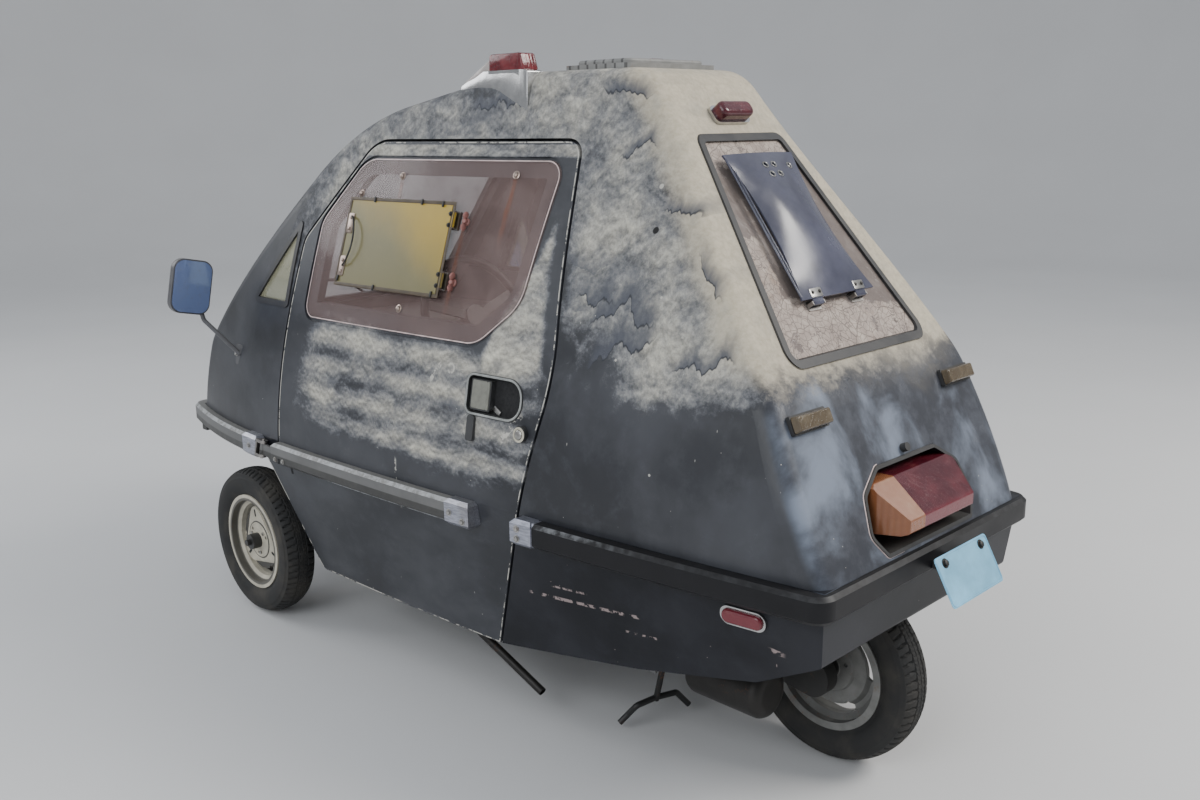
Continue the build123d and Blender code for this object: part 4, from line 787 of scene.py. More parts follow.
stage_rings = [(2, 0), (6, 0), (9, 0), (9.8, 0.08), (10.8, 0.4), (11.8, 1.1), (12.6, 2.3), (13, 3.8), (13.2, 6),
               (13.2, 9)]
stage_steps = 64
stage_verts = [(0, 0, 0)]
for radius, height in stage_rings:
    stage_verts += [(radius * math.cos(a), radius * math.sin(a), height) for a in angles(stage_steps)]
stage_faces = [(0, 1 + i, 1 + (i + 1) % stage_steps) for i in range(stage_steps)]
stage_faces += [(a + 1, d + 1, c + 1, b + 1) for a, b, c, d in quads(len(stage_rings), stage_steps)]
add_mesh("studio_floor", stage_verts, stage_faces, floor_material(), smooth=True)


def area_light(name, spot, target, power, size, colour):
    data = bpy.data.lights.new(name, "AREA")
    data.energy = power
    data.shape = "RECTANGLE"
    data.size, data.size_y = size
    data.color = colour
    light = add_object(name, data)
    light.location = spot
    light.rotation_euler = (Vector(target) - Vector(spot)).to_track_quat("-Z", "Y").to_euler()


area_light("key", (-2.6, 4.2, 4.4), (0, 0.3, 0.7), 330, (2.4, 2.4), (1.0, 0.97, 0.92))
area_light("fill", (5.0, 1.0, 3.0), (0, 0, 0.7), 150, (4.0, 3.0), (0.94, 0.97, 1.0))
area_light("front", (2.5, -5.0, 3.4), (0, -0.3, 0.6), 90, (3.0, 2.4), (0.96, 0.98, 1.0))
world = bpy.data.worlds.new("studio")
bpy.context.scene.world = world
world.use_nodes = True
for key, value in (("Color", (0.8, 0.84, 0.9, 1)), ("Strength", 0.85)):
    world.node_tree.nodes["Background"].inputs[key].default_value = value

# Camera at the photograph's place
camera_spot, focal_length, film_width = (1.979, 2.130, 1.357), 34.41, 36
yaw, pitch, roll = math.radians(45.02), math.radians(13.47), math.radians(-0.78)
ahead = Vector((-math.cos(yaw) * math.cos(pitch), -math.sin(yaw) * math.cos(pitch), -math.sin(pitch)))
right = ahead.cross(Vector((0, 0, 1))).normalized()
above = right.cross(ahead)
right_turned = right * math.cos(roll) + above * math.sin(roll)
above_turned = above * math.cos(roll) - right * math.sin(roll)
camera_data = bpy.data.cameras.new("camera")
camera_data.lens = focal_length
camera_data.sensor_width = film_width
camera = add_object("camera", camera_data)
camera_turn = Matrix((right_turned, above_turned, -ahead)).transposed()
camera.matrix_world = Matrix.Translation(camera_spot) @ camera_turn.to_4x4()
bpy.context.scene.camera = camera

# Places on the frame's surfaces
hands = ((1, "left"), (-1, "right"))
cad_trees = {}


def tree_of(*names):
    """A search tree over some CAD nodes, in world space."""
    if names not in cad_trees:
        verts, faces = [], []
        for name in names:
            mesh = nodes[name].data
            start = len(verts)
            verts += [nodes[name].matrix_world @ v.co for v in mesh.vertices]
            faces += [[start + i for i in polygon.vertices] for polygon in mesh.polygons]
        cad_trees[names] = BVHTree.FromPolygons(verts, faces)
    return cad_trees[names]


def meet(start, way, node):
    """Where a line meets a CAD node, with the surface's normal."""
    return tree_of(node).ray_cast(Vector(start), Vector(way))[:2]


def on_side(y, z, side, node):
    return meet((2.0 * side, y, z), (-side, 0, 0), node)


def on_top(x, y):
    return meet((x, y, 3.0), (0, 0, -1), "upper_body")[0].z


def basis(normal, along=(0, 0, 1)):
    """A turn whose Z is the normal and whose Y leans towards a direction."""
    z = Vector(normal).normalized()
    x = Vector(along).cross(z)
    if x.length < 1e-4:
        x = Vector((1, 0, 0)).cross(z)
    x.normalize()
    y = z.cross(x)
    return Matrix((x, y, z)).transposed().to_4x4()


def place(spot, normal, along=(0, 0, 1)):
    return Matrix.Translation(spot) @ basis(normal, along)


def side_place(y, z, side, node):
    """The place and turn of a small piece on the car's side."""
    spot, normal = on_side(y, z, side, node)
    return None if spot is None else place(spot, normal)


def shift(x=0.0, y=0.0, z=0.0):
    return Matrix.Translation((x, y, z))


def turned_z(angle):
    return Matrix.Rotation(angle, 4, "Z")


def flat_face(node, towards):
    """The largest flat face of a node that looks a given way: its place and turn, width and height."""
    mesh = nodes[node].data
    towards = Vector(towards).normalized()
    best = max((p for p in mesh.polygons if p.normal.dot(towards) > 0.5), key=lambda p: p.area)
    normal = best.normal.copy()
    level = mesh.vertices[best.vertices[0]].co.dot(normal)
    turn = basis(normal)
    back = turn.to_3x3().transposed()
    seen = [back @ v.co for v in mesh.vertices if abs(v.co.dot(normal) - level) < 4e-4]
    low, high = (Vector([pick(v[i] for v in seen) for i in range(3)]) for pick in (min, max))
    centre = turn.to_3x3() @ ((low + high) / 2)
    return Matrix.Translation(centre) @ turn, high.x - low.x, high.y - low.y


# Small shapes as verts and faces
def lathe_data(profile, steps=32):
    """A profile of radius and height turned about Z."""
    verts = [(radius * math.cos(a), radius * math.sin(a), height) for radius, height in profile for a in angles(steps)]
    return verts, quads(len(profile), steps) + caps(len(profile), steps)


def plate_data(width, height, thickness, corner, bevel):
    """A flat plate with rounded corners and a bevelled face, standing on Z = 0."""
    corner = min(corner, width / 2 - 1e-5, height / 2 - 1e-5)
    steps, verts = 5, []
    for inset, z in ((0, 0.0), (0, thickness - bevel), (bevel * 0.4, thickness - bevel * 0.25), (bevel, thickness)):
        r = max(corner - inset, 1e-5)
        for cx, cy, start in ((1, 1, 0), (-1, 1, 90), (-1, -1, 180), (1, -1, 270)):
            for i in range(steps + 1):
                a = math.radians(start + 90 * i / steps)
                verts.append((cx * (width / 2 - corner) + r * math.cos(a),
                              cy * (height / 2 - corner) + r * math.sin(a), z))
    count = 4 * (steps + 1)
    return verts, quads(4, count) + caps(4, count)


def tube_data(points, radius, sides=8, closed=False):
    """A round bar along a line of points."""
    verts, count = [], len(points)
    up = Vector((0.31, 0.17, 0.93)).normalized()
    for index, point in enumerate(points):
        ahead = points[(index + 1) % count] if closed or index + 1 < count else point
        behind = points[index - 1] if closed or index else point
        run = (ahead - behind).normalized()
        side = run.cross(up)
        if side.length < 0.05:
            side = run.cross(Vector((1, 0, 0)))
        side.normalize()
        rise = side.cross(run)
        verts += [point + side * (radius * math.cos(a)) + rise * (radius * math.sin(a)) for a in angles(sides)]
    return verts, quads(count, sides, closed) + ([] if closed else caps(count, sides))


def ring_part(points, radius):
    """A closed round bar, in place."""
    return tube_data(points, radius, closed=True), Matrix()


def screw_data(radius, height):
    """A domed screw head."""
    return lathe_data([(radius, 0), (radius, height * 0.35), (radius * 0.86, height * 0.75), (radius * 0.5, height),
                       (radius * 0.2, height)], 24)


def hex_data(radius, height):
    """A bolt head: a washer below a six-sided head with a rounded top."""
    verts, faces = lathe_data([(radius * 1.5, 0), (radius * 1.5, height * 0.18), (radius * 1.05, height * 0.2)], 24)
    start = len(verts)
    more, extra = lathe_data([(radius, height * 0.2), (radius, height * 0.9), (radius * 0.82, height)], 6)
    return verts + more, faces + [tuple(start + i for i in face) for face in extra]


def sheet_data(points, thickness):
    """A flat sheet with a given closed outline, standing on Z = 0."""
    verts = [(p.x, p.y, z) for z in (0.0, thickness) for p in points]
    return verts, caps(2, len(points)) + quads(2, len(points))


def ramp_data(x0, rows):
    """A body along the car from rows of y, half width below and above, and heights below (left, right) and above."""
    verts = []
    for y, low_half, high_half, low_left, low_right, high in rows:
        verts += [(x0 - low_half, y, low_left), (x0 + low_half, y, low_right), (x0 + high_half, y, high),
                  (x0 - high_half, y, high)]
    return verts, quads(len(rows), 4) + caps(len(rows), 4)


def edited(mesh, change):
    """Changes a mesh by a function of its working copy."""
    work = bmesh.new()
    work.from_mesh(mesh)
    change(work)
    work.to_mesh(mesh)
    work.free()


def mark_sharp(mesh, angle):
    """Keeps edges sharper than an angle crisp under smooth shading."""
    def change(work):
        for edge in work.edges:
            edge.smooth = len(edge.link_faces) == 2 and edge.calc_face_angle(0) < math.radians(angle)
    edited(mesh, change)


def outward_faces(work):
    bmesh.ops.recalc_face_normals(work, faces=work.faces)


def settle(thing, body):
    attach(thing, body)
    return thing


def piece(name, material, body, parts, smooth=True, angle=35):
    """One mesh object of many small shapes, each with its place."""
    verts, faces = [], []
    for (points, loops), at in parts:
        start = len(verts)
        verts += [at @ Vector(v) for v in points]
        faces += [tuple(start + i for i in loop) for loop in loops]
    if not verts:
        return
    thing = add_mesh(name, verts, faces, material, smooth)
    if smooth:
        mark_sharp(thing.data, angle)
    settle(thing, body)


# Outlines
def curve_points(corners, radius_steps=6):
    """A closed outline of (a, b, radius) corners as points along its straight runs and arcs."""
    points = []
    count = len(corners)
    for index in range(count):
        a, b, r = corners[index]
        here = Vector((a, b))
        before = Vector(corners[index - 1][:2])
        after = Vector(corners[(index + 1) % count][:2])
        back = (before - here).normalized()
        on = (after - here).normalized()
        angle = math.acos(max(-1, min(1, back.dot(on))))
        if r < 1e-6:
            points.append(here)
            continue
        reach = min(r / math.tan(angle / 2), (before - here).length * 0.49, (after - here).length * 0.49)
        middle = here + (back + on).normalized() * (reach / math.cos(angle / 2))
        start, end = here + back * reach - middle, here + on * reach - middle
        sweep = math.atan2(start.x * end.y - start.y * end.x, start.dot(end))
        for i in range(radius_steps + 1):
            turn = sweep * i / radius_steps
            points.append(middle + Vector((start.x * math.cos(turn) - start.y * math.sin(turn),
                                           start.x * math.sin(turn) + start.y * math.cos(turn))))
    return points


def inset_points(points, amount):
    """The same closed line moved inwards (or outwards for a negative amount)."""
    count = len(points)
    area = sum(points[i - 1].x * points[i].y - points[i].x * points[i - 1].y for i in range(count))
    sign = 1 if area > 0 else -1
    moved = []
    for i in range(count):
        run = (points[(i + 1) % count] - points[i - 1]).normalized()
        moved.append(points[i] + Vector((-run.y, run.x)) * amount * sign)
    return moved


def dense(points, step):
    """A closed line with extra points so that no run is longer than a step."""
    result = []
    for i, a in enumerate(points):
        b = points[(i + 1) % len(points)]
        parts = max(1, int((b - a).length / step))
        result += [a + (b - a) * (k / parts) for k in range(parts)]
    return result


def side_band(name, line, width, side, node, material, body):
    """A thin band that follows a closed line of (y, z) points on the car's side."""
    lift, thickness, widest_step, longest_run = 0.0003, 0.0002, 0.03, 0.05
    verts = []
    for a, b in zip(line, inset_points(line, width)):
        (outer, outer_normal), (inner, inner_normal) = on_side(*a, side, node), on_side(*b, side, node)
        if outer is not None and inner is not None and abs(outer.x - inner.x) <= widest_step:
            verts += [outer + outer_normal * (lift - thickness), outer + outer_normal * lift,
                      inner + inner_normal * lift, inner + inner_normal * (lift - thickness)]
    faces = [face if side > 0 else face[::-1] for face in quads(len(verts) // 4, 4, closed=True)
             if (verts[face[0] // 4 * 4] - verts[face[2] // 4 * 4]).length <= longest_run]
    thing = add_mesh(name, verts, faces, material)
    edited(thing.data, outward_faces)
    settle(thing, body)


# Tyres with a cut tread
tread_half, tread_edge, tread_pitches, tread_deep, tyre_steps = 0.0415, 0.039, 66, 0.0048, 396
crown_radius, crown_drop, crown_power, tread_columns = 0.2106, 0.0125, 2.6, 52
tyre_wall = [(0.0335, 0.1262), (0.0355, 0.1395), (0.0395, 0.1465), (0.0405, 0.1478), (0.0432, 0.1555), (0.0452, 0.165),
             (0.0458, 0.176), (0.0448, 0.1862), (0.0438, 0.1872), (0.0425, 0.194)]


def cut(place, line, half_width):
    """The depth of a V-shaped cut at a line, from 0 to 1."""
    return max(0.0, 1 - abs(place - line) / half_width)


def tread_depth(x, angle):
    """How deep the tread is cut at a place across and around the tyre, from 0 to 1."""
    u = abs(x) / tread_edge
    around = angle / (2 * math.pi) * tread_pitches
    zig = abs((around % 1) - 0.5) * 2
    groove = cut(u, 0.3 + 0.07 * zig, 0.055)
    middle = cut(u, 0.02 * zig, 0.03) * 0.7
    shifted = (around + (0.5 if x > 0 else 0.0) + 0.35 * u) % 1
    lateral = cut(shifted, 0.5, 0.16) if 0.42 < u < 1.02 else 0.0
    sipe = cut((around * 2 + 0.8 * u) % 1, 0.5, 0.16) * 0.55 if u < 0.26 else 0.0
    return max(groove, middle, min(1.0, lateral * 1.5), sipe)


def add_tyre(node, body):
    low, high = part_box(node)
    centre = (Vector(low) + Vector(high)) / 2
    tread_xs = [tread_half - 2 * tread_half * i / tread_columns for i in range(tread_columns + 1)]
    profile = tyre_wall + [(x, crown_radius - crown_drop * (abs(x) / tread_half) ** crown_power) for x in tread_xs]
    profile += [(-x, r) for x, r in reversed(tyre_wall)]
    verts = []
    for index, (x, radius) in enumerate(profile):
        treaded = len(tyre_wall) <= index < len(tyre_wall) + len(tread_xs)
        for angle in angles(tyre_steps):
            r = radius - tread_deep * tread_depth(x, angle) if treaded else radius
            verts.append((centre.x + x, centre.y + r * math.cos(angle), centre.z + r * math.sin(angle)))
    faces = quads(len(profile), tyre_steps, closed=True)
    thing = add_mesh("treaded_" + node, verts, faces, paints["tyre"], smooth=True)
    mark_sharp(thing.data, 38)
    settle(thing, body)
    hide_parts(node)


for corner in ("front_left", "front_right", "rear"):
    add_tyre("tyre_" + corner, "wheel_" + corner)

# Doors: worn edge lines, screws of the tinted panel and its pale cut edge
door_line = dense(curve_points([
    (0.231, 0.198, 0.006), (0.352, 0.545, 0), (0.432, 0.850, 0.4), (0.347, 1.325, 0.04), (-0.303, 1.325, 0.11),
    (-0.524, 1.082, 0.06), (-0.563, 0.545, 0), (-0.566, 0.488, 0.003), (-0.651, 0.488, 0.003), (-0.470, 0.198, 0.03),
], 10), 0.02)
panel_line = dense(curve_points([
    (-0.468, 0.890, 0.036), (-0.462, 1.130, 0.06), (-0.325, 1.285, 0.09), (0.320, 1.285, 0.042), (0.300, 0.985, 0.09),
    (0.190, 0.892, 0.09),
], 10), 0.02)
panel_screws = ((-0.175, 1.245), (0.194, 1.253), (-0.088, 0.945), (-0.318, 1.201))
panel_screw_profile = [(0.0095, 0), (0.0098, 0.0012), (0.0082, 0.0018), (0.0066, 0.002), (0.0064, 0.0042),
                       (0.0052, 0.0058), (0.003, 0.0066)]
for side, hand in hands:
    door, window = "door_" + hand, "window_" + hand
    for kind, line, width, node, material, slot in (
            ("door_edge_wear_", inset_points(door_line, 0.0012), 0.0026, door, door_wear, "door_shell"),
            ("panel_edge_", inset_points(panel_line, 0.0008), 0.0022, window, pale_edge, "door_window")):
        side_band(kind + hand, line, width, side, node, material, door)
    parts = []
    for y, z in panel_screws:
        at = side_place(y, z, side, window)
        if at is not None:
            parts += [(lathe_data(panel_screw_profile, 28), at),
                      (plate_data(0.0085, 0.0013, 0.0004, 0.0003, 0.0001), at @ shift(z=0.0064))]
    piece("panel_screws_" + hand, bronze, door, parts)

# Door handles: pale rim, dark hollow, worn lever face and the ring round each lock
handle_corners = [(-0.087, -0.047, 0.022), (0.087, -0.047, 0.043), (0.087, 0.047, 0.043), (-0.087, 0.047, 0.022)]
handle_y, handle_z, lever_at, lever_level = 0.270, 0.790, -0.043, -0.002
lock_y, lock_z, lock_aside = 0.364, 0.727, 0.01
collar_profile = [(0.0162, 0.0), (0.0164, 0.0008), (0.0155, 0.0016), (0.0118, 0.0018), (0.0112, 0.0008), (0.0112, 0.0)]


def handle_piece(name, hand, material, parts, smooth=True):
    piece(name + "_" + hand, material, "door_" + hand, parts, smooth)


for side, hand in hands:
    spot, normal = on_side(handle_y + lever_at, handle_z, side, "handle_" + hand)
    turn = basis(normal)
    origin = spot - turn.to_3x3() @ Vector((side * lever_at, 0, lever_level))
    handle_at = Matrix.Translation(origin) @ turn
    outline = curve_points([(side * x, y, r) for x, y, r in handle_corners], 8)
    handle_piece("handle_rim", hand, pale_trim, [
        ring_part([handle_at @ Vector((p.x, p.y, 0.0022)) for p in inset_points(outline, inset)], radius)
        for inset, radius in ((0.0032, 0.0017), (0.0055, 0.0009))])
    handle_piece("handle_hollow", hand, gap_shade, [
        (sheet_data(inset_points(outline, 0.0072), 0.0004), handle_at @ shift(z=-0.0159))], smooth=False)
    handle_piece("handle_lever", hand, olive_grey, [
        (plate_data(0.046, 0.062, 0.0012, 0.004, 0.0006), handle_at @ shift(side * (lever_at - 0.004), 0, lever_level)),
        (plate_data(0.008, 0.062, 0.0022, 0.002, 0.001),
         handle_at @ shift(side * (lever_at + 0.0235), 0, lever_level))])
    handle_piece("handle_catch", hand, bright_bolt, [
        (plate_data(0.026, 0.012, 0.0035, 0.003, 0.0015),
         handle_at @ shift(0, -0.029, -0.0155) @ turned_z(side * -0.5))])
    spot, normal = on_side(lock_y + lock_aside, lock_z, side, "handle_" + hand)
    turn = basis(normal)
    lock_at = Matrix.Translation(spot - turn.to_3x3() @ Vector((side * lock_aside, 0, 0))) @ turn
    handle_piece("lock_collar", hand, cream_metal, [(lathe_data(collar_profile), lock_at)])
    handle_piece("lock_barrel", hand, bright_bolt, [
        (lathe_data([(0.0098, 0.0), (0.0098, 0.0022), (0.0085, 0.003)], 28), lock_at),
        (plate_data(0.0014, 0.009, 0.0003, 0.0005, 0.0001), lock_at @ shift(z=0.0029))])

# Side flap: frame, wing nuts at its hinges, a wire pull on bronze plates and small clips
flap_at, flap_w, flap_h = flat_face("side_flap", (1, 0, 0))
frame_w, clip_size = 0.008, (0.006, 0.014, 0.003, 0.002, 0.001)
rear_sign = 1 if (flap_at.to_3x3() @ Vector((1, 0, 0))).y > 0 else -1


def side_flap_piece(name, material, parts):
    piece("side_flap_" + name, material, "side_flap", parts)


frame_x, frame_y, frame_h = flap_w / 2 - frame_w / 2, flap_h / 2 - frame_w / 2, flap_h - 2 * frame_w
side_flap_piece("frame", flap_frame, [
    (plate_data(w, h, 0.0012, 0.001, 0.0005), flap_at @ shift(x, y, 0.0001))
    for x, y, w, h in ((0, frame_y, flap_w, frame_w), (0, -frame_y, flap_w, frame_w), (frame_x, 0, frame_w, frame_h),
                       (-frame_x, 0, frame_w, frame_h))])
parts = []
pull_plate_x = -rear_sign * (flap_w / 2 - 0.018)
for y in (0.045, -0.062):
    parts.append((plate_data(0.022, 0.05, 0.0016, 0.004, 0.0006), flap_at @ shift(pull_plate_x, y, 0.0002)))
    parts += [(screw_data(0.0045, 0.003), flap_at @ shift(pull_plate_x, y + dy, 0.0018)) for dy in (-0.014, 0.014)]
side_flap_piece("plates", bronze, parts)
bow = []
bow_x = -rear_sign * (flap_w / 2 - 0.022)
for i in range(25):
    t = i / 24
    a = math.pi * t
    bow.append(flap_at @ Vector((bow_x + rear_sign * 0.034 * math.sin(a) ** 0.6, 0.062 - 0.124 * t,
                                 0.004 + 0.010 * math.sin(a) ** 0.5)))
clips = ((0.39, 0.47), (0.2, 0.48), (-0.25, 0.48), (-0.47, -0.42), (0.44, -0.47), (-0.1, -0.48))
side_flap_piece("pull", black_wire, [(tube_data(bow, 0.0022, 10), Matrix())] + [
    (plate_data(*clip_size), flap_at @ shift(x * flap_w * rear_sign, y * flap_h, 0.0012)) for x, y in clips])
wings, bolts = [], []
lobe_profile = [(0.0015, -0.007), (0.006, -0.0055), (0.0088, -0.001), (0.0088, 0.002), (0.006, 0.0062),
                (0.0015, 0.0075)]
for y in (0.07, -0.07):
    out = flap_at.to_3x3() @ Vector((0, 0, 1))
    spot, normal = meet(flap_at @ Vector((rear_sign * (flap_w / 2 + 0.026), y, 0.02)), -out, "window_left")
    if spot is None:
        continue
    at = place(spot, normal)
    wings.append((lathe_data([(0.009, 0), (0.009, 0.003), (0.0065, 0.004), (0.006, 0.011), (0.004, 0.0125)], 24), at))
    for sign in (1, -1):
        leaning = Matrix.Rotation(sign * -0.5, 4, "X") @ Matrix.Diagonal((0.55, 1, 1, 1))
        wings.append((lathe_data(lobe_profile, 24), at @ shift(0, sign * 0.0135, 0.0085) @ leaning))
    bolts += [(hex_data(0.0038, 0.004), flap_at @ shift(rear_sign * (flap_w / 2 - 0.012), y + dy, 0.0012))
              for dy in (-0.013, 0.013)]
piece("side_flap_wing_nuts", wing_pink, "door_left", wings)
side_flap_piece("bolts", dark_bolt, bolts)

# Rear flap: eyelets round its holes, and leaves with screws on its hinges
flap_foot, flap_top, eyelet_radius = 1.008, 1.284, 0.0068
rear_up = Vector((0, -rear_slope, 1)).normalized()
rear_out = Vector((0, 1, rear_slope)).normalized()
flap_mid = (flap_foot + flap_top) / 2
flap_half = (flap_top - flap_foot) / 2 * math.sqrt(1 + rear_slope * rear_slope)
flap_centre = Vector((0, knee_y - rear_slope * (flap_mid - knee_z), flap_mid))
eyelets, leaves, leaf_screws = [], [], []


def flap_surface(start):
    """Where a line against the flap's outward direction meets its outer face."""
    spot, normal = meet(start, -rear_out, "rear_flap")
    return (spot, normal) if spot is not None and normal.dot(rear_out) > 0.3 else (None, None)


for x, down in ((0.014, 0.036), (-0.014, 0.036), (0.014, 0.062), (-0.014, 0.062), (-0.072, 0.038)):
    hole = flap_centre + Vector((x, 0, 0)) + rear_up * (flap_half - down)
    ring = []
    for a in angles(20):
        start = hole + rear_out * 0.4 + Vector((math.cos(a) * eyelet_radius, 0, 0))
        spot, normal = flap_surface(start + rear_up * (math.sin(a) * eyelet_radius))
        if spot is not None:
            ring.append(spot + normal * 0.0008)
    if len(ring) > 16:
        eyelets.append(ring_part(ring, 0.0014))
for x in (-0.076, 0.076):
    spot, normal = flap_surface(flap_centre + Vector((x, 0, 0)) - rear_up * (flap_half - 0.011) + rear_out * 0.3)
    if spot is None:
        continue
    leaf_at = place(spot, normal, rear_up)
    leaves.append((plate_data(0.037, 0.019, 0.0014, 0.002, 0.0005), leaf_at))
    leaf_screws += [(hex_data(0.0028, 0.0026), leaf_at @ shift(dx, 0.001, 0.0013)) for dx in (-0.0115, 0.0115)]
for name, material, parts in (("eyelets", bright_bolt, eyelets), ("leaves", bright_bolt, leaves),
                              ("leaf_screws", dark_bolt, leaf_screws)):
    piece("rear_flap_" + name, material, "rear_flap", parts)

# Plate: raised rim and two dark bolts
plate_at, plate_w, plate_h = flat_face("number_plate", (0, 1, 0.5))
half_w, half_h = plate_w / 2 - 0.003, plate_h / 2 - 0.003
rim_line = curve_points([(x * half_w, y * half_h, 0.008) for x, y in ((-1, -1), (1, -1), (1, 1), (-1, 1))])
piece("plate_rim", paints["plate_sheet"], "body", [
    ring_part([plate_at @ Vector((p.x, p.y, 0.0003)) for p in rim_line], 0.0013)])
piece("plate_bolts", dark_bolt, "body", [
    (hex_data(0.0065, 0.006), plate_at @ shift(x, 0.034)) for x in (-0.07, 0.07)])

# Tail lamps: the pale lip along the left of their recess
lip_corners = [(0.196, 0.600, 0.026), (0.176, 0.672, 0.026), (0.110, 0.712, 0.026), (-0.110, 0.712, 0.026),
               (-0.176, 0.672, 0.026), (-0.196, 0.600, 0.026), (-0.160, 0.556, 0.010), (0.160, 0.556, 0.010)]
lip_run = [point for point in dense(inset_points(curve_points(lip_corners, 8), -0.0012), 0.012) if point.x > 0.1]
first = max(range(len(lip_run)), key=lambda i: (lip_run[i] - lip_run[i - 1]).length)
lip_line = []
for point in lip_run[first:] + lip_run[:first]:
    spot, normal = meet((point.x, 3.0, point.y), (0, -1, 0), "upper_body")
    if spot is not None and normal.y > 0.3:
        lip_line.append(spot + normal * 0.0003)
piece("tail_lamp_lip", pale_edge, "body", [(tube_data(lip_line, 0.0011), Matrix())])


# Bolts in the rails' caps and the mirrors' feet, and slots in the rails
def side_bolts(side, rows):
    """Bolt heads at rows of y, z, node, radius and height."""
    found = [(side_place(y, z, side, node), radius, height) for y, z, node, radius, height in rows]
    return [(hex_data(radius, height), at) for at, radius, height in found if at is not None]


for side, hand in hands:
    rail, door = "door_rail_" + hand, "door_" + hand
    piece("door_rail_slot_" + hand, gap_shade, door, [
        (plate_data(0.009, height, 0.0006, 0.001, 0.0002), side_place(-0.527, z, side, node))
        for z, height, node in ((0.506, 0.014, rail), (0.478, 0.03, door))], smooth=False)
    piece("door_rail_bolts_" + hand, bright_bolt, door, side_bolts(side, (
        (0.17, 0.522, rail, 0.0055, 0.005), (0.212, 0.508, rail, 0.0055, 0.005), (-0.546, 0.508, rail, 0.0045, 0.004),
        (-0.508, 0.508, rail, 0.0045, 0.004))))
piece("body_bolts", bright_bolt, "body", [part for side in (1, -1) for part in side_bolts(side, (
    (0.384, 0.532, "rear_band", 0.0055, 0.005), (0.384, 0.51, "rear_band", 0.0055, 0.005),
    (-0.68, 0.522, "nose_rail", 0.0055, 0.005), (-0.805, 0.752, "mirrors", 0.0045, 0.006),
    (-0.775, 0.748, "mirrors", 0.0045, 0.006)))])


# Roof lamps: a bright foot that follows the roof, a clear ribbed ramp in front and a red lens behind it
def roof_lamp_piece(name, x0, rows, material, width):
    """A ramp on the roof with rounded edges."""
    def change(work):
        outward_faces(work)
        sharp = [edge for edge in work.edges if len(edge.link_faces) == 2 and edge.calc_face_angle(0) > 0.5]
        bmesh.ops.bevel(work, geom=sharp, offset=width, segments=3, profile=0.5, affect="EDGES", clamp_overlap=True)

    thing = add_mesh("roof_lamp_" + name, *ramp_data(x0, rows), material)
    edited(thing.data, change)
    smooth_shade(thing.data)
    mark_sharp(thing.data, 30)
    settle(thing, "body")


lamp_x, foot_top, clear_top, sunk = 0.218, 1.4796, 1.506, 0.001
foot_halves, red_halves, clear_halves = (0.0262, 0.0235), (0.0226, 0.0217), (0.0222, 0.021)
foot_rows = [(-0.052, 0.003), (-0.03, 0.0075), (0.0, 0.01), (0.03, None), (0.048, None), (0.153, None), (0.166, None),
             (0.18, 0.003)]
red_rows = [(0.049, 1.5115), (0.0555, 1.5155), (0.15, 1.5155), (0.1555, 1.5135), (0.165, 1.4812)]
clear_rows = [(-0.042, 0.004), (0.0, 0.018), (0.0486, 0.0362)]
for side, hand in hands:
    x0, rows = side * lamp_x, []
    for y, rise in foot_rows:
        under = [on_top(x0 + dx, y) for dx in (-0.026, 0.0, 0.026)]
        top = min(foot_top, under[1] + rise) if rise else foot_top
        rows.append((y, *foot_halves, under[0] - sunk, under[2] - sunk, max(top, max(under) + 0.001)))
    roof_lamp_piece("foot_" + hand, x0, rows, paints["lamp_bezel"], 0.0015)
    rows = [(y, *red_halves, foot_top - sunk, foot_top - sunk, z) for y, z in red_rows]
    roof_lamp_piece("red_" + hand, x0, rows, roof_paints["red"], 0.003)
    rows = []
    for y, rise in clear_rows:
        under = on_top(x0, y) + 0.004
        rows.append((y, *clear_halves, under, under, min(under + rise, clear_top)))
    roof_lamp_piece("clear_" + hand, x0, rows, roof_paints["clear"], 0.002)

# Front wheels: a pressed three-armed disc with slots, on the dark dish of the rim
axle_y, axle_z, face_radius, arm_angle, arm_step, arm_reach = -0.773, 0.211, 0.062, 1.75, 2.0944, 0.133
nut_angle, disc_level = arm_angle + math.pi / 3, 0.0043
disc_ring = [(0.052, 0.0), (0.0515, 0.0058), (0.0485, 0.0072), (0.0455, 0.006), (0.0452, 0.0044)]
disc_boss = [(0.03, 0.0), (0.03, 0.0062), (0.0275, 0.0072), (0.0245, 0.0072)]
for side, hand in hands:
    level = []
    for a in angles(24):
        y, z = axle_y + face_radius * math.cos(a), axle_z + face_radius * math.sin(a)
        spot, normal = on_side(y, z, side, "rim_front_" + hand)
        if spot is not None and abs(normal.x) > 0.9:
            level.append(abs(spot.x))
    wheel_at = shift(side * sorted(level)[len(level) // 2], axle_y, axle_z) @ basis((side, 0, 0))
    arms = [arm_angle + k * arm_step for k in range(3)]
    outline = curve_points([(arm_reach * math.cos(a), arm_reach * math.sin(a), 0.036) for a in arms], 10)
    wheel = "wheel_front_" + hand
    piece("wheel_disc_" + hand, disc_paint, wheel, [
        (sheet_data(inset_points(outline, inset), 0.0022), wheel_at @ shift(z=low))
        for inset, low in ((0, 0), (0.003, 0.0022))
    ] + [(lathe_data(disc_ring, 48), wheel_at), (lathe_data(disc_boss, 40), wheel_at)], angle=25)
    piece("wheel_slots_" + hand, gap_shade, wheel, [
        (plate_data(0.022, 0.0075, 0.0004, 0.0035, 0.0001), wheel_at @ turned_z(a) @ shift(0.078, 0, disc_level))
        for a in arms], smooth=False)
    piece("wheel_nuts_" + hand, bright_bolt, wheel, [
        (hex_data(0.0052, 0.006), wheel_at @ turned_z(nut_angle + k * arm_step) @ shift(0.0375, 0, disc_level))
        for k in range(3)])


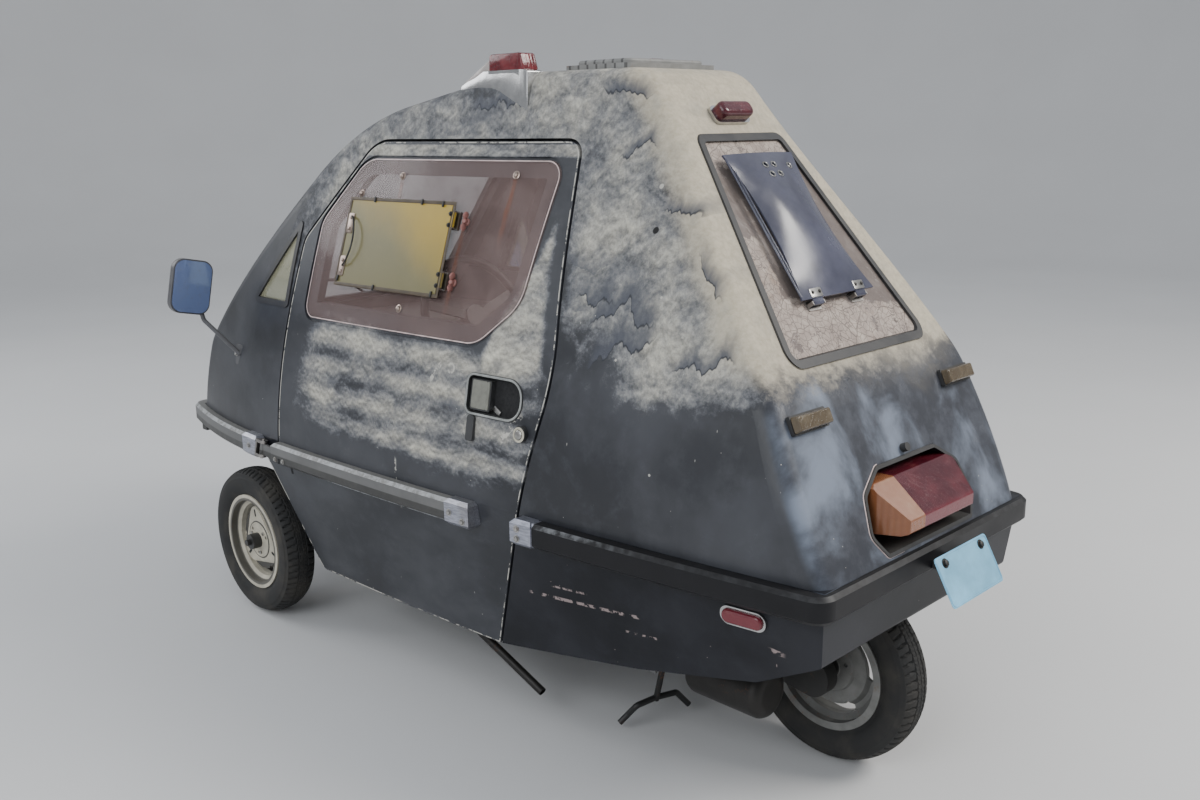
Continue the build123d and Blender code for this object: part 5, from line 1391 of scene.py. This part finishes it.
# Seat: padded cover made by cloth under pressure, then sewn channels
def apply_modifiers(thing):
    """Gives an object the mesh that its modifiers make, and drops them."""
    view = bpy.context.evaluated_depsgraph_get()
    mesh = bpy.data.meshes.new_from_object(thing.evaluated_get(view))
    thing.modifiers.clear()
    thing.data = mesh


def inflate(thing):
    """Lets a cover swell as cloth under pressure for 20 frames."""
    cloth = thing.modifiers.new("cloth", "CLOTH")
    for key, value in (("quality", 5), ("mass", 0.3), ("tension_stiffness", 12), ("compression_stiffness", 12),
                       ("shear_stiffness", 5), ("bending_stiffness", 0.6), ("use_pressure", True),
                       ("uniform_pressure_force", 4)):
        setattr(cloth.settings, key, value)
    cloth.settings.effector_weights.gravity = 0
    cloth.collision_settings.use_self_collision = False
    for number in range(1, 21):
        bpy.context.scene.frame_set(number)
    apply_modifiers(thing)
    bpy.context.scene.frame_set(1)


def channel_depths(spot, channels):
    """How deep the sewn channels press at a place."""
    depth = 0.0
    for axis, middle, width, deep in channels:
        distance = abs(spot[axis] - middle)
        if distance < 3 * width:
            depth = max(depth, deep * math.exp(-(distance / width) ** 2))
    return depth


def soft_pad(node, name, channels):
    """A padded piece in a node's place, with sewn channels of axis, place, width and depth."""
    shrink, cap, proud, margin = 0.006, 0.02, 0.006, 0.0003
    source = nodes[node]
    thing = add_object(name, source.data.copy())
    thing.matrix_world = source.matrix_world.copy()
    remesh = thing.modifiers.new("remesh", "REMESH")
    remesh.mode = "VOXEL"
    remesh.voxel_size = 0.0065
    apply_modifiers(thing)
    for vertex in thing.data.vertices:
        vertex.co -= vertex.normal * shrink
    rest = [v.co.copy() for v in thing.data.vertices]
    inflate(thing)
    mesh = thing.data
    for vertex, start in zip(mesh.vertices, rest):
        move = vertex.co - start
        if move.length > cap:
            vertex.co = start + move.normalized() * cap
    low, high = (Vector(corner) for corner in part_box(node))
    mesh.update()
    normals = [v.normal.copy() for v in mesh.vertices]
    for vertex, normal in zip(mesh.vertices, normals):
        vertex.co -= normal * channel_depths(vertex.co, channels)
        for axis in range(3):
            top = high[axis] + (proud if axis == 2 else 0.0)
            vertex.co[axis] = min(max(vertex.co[axis], low[axis] + margin), top)
    smooth = thing.modifiers.new("smooth", "SUBSURF")
    smooth.levels = smooth.render_levels = 1
    mesh.materials.clear()
    mesh.materials.append(paints["seat_cover"])
    smooth_shade(mesh)
    settle(thing, "body")
    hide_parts(node)


channel_width, channel_depth = 0.006, 0.008
for node, name, axis, level, fill in (
        ("seat_cushion", "padded_seat", 1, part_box("seat_cushion")[0][1] + 0.09, 0.8),
        ("seat_back", "padded_back", 2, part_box("seat_back")[1][2] - 0.1, 0.75)):
    lines = [(0, x) for x in (-0.12, -0.04, 0.04, 0.12)] + [(axis, level)]
    soft_pad(node, name, [(*line, channel_width, channel_depth) for line in lines])
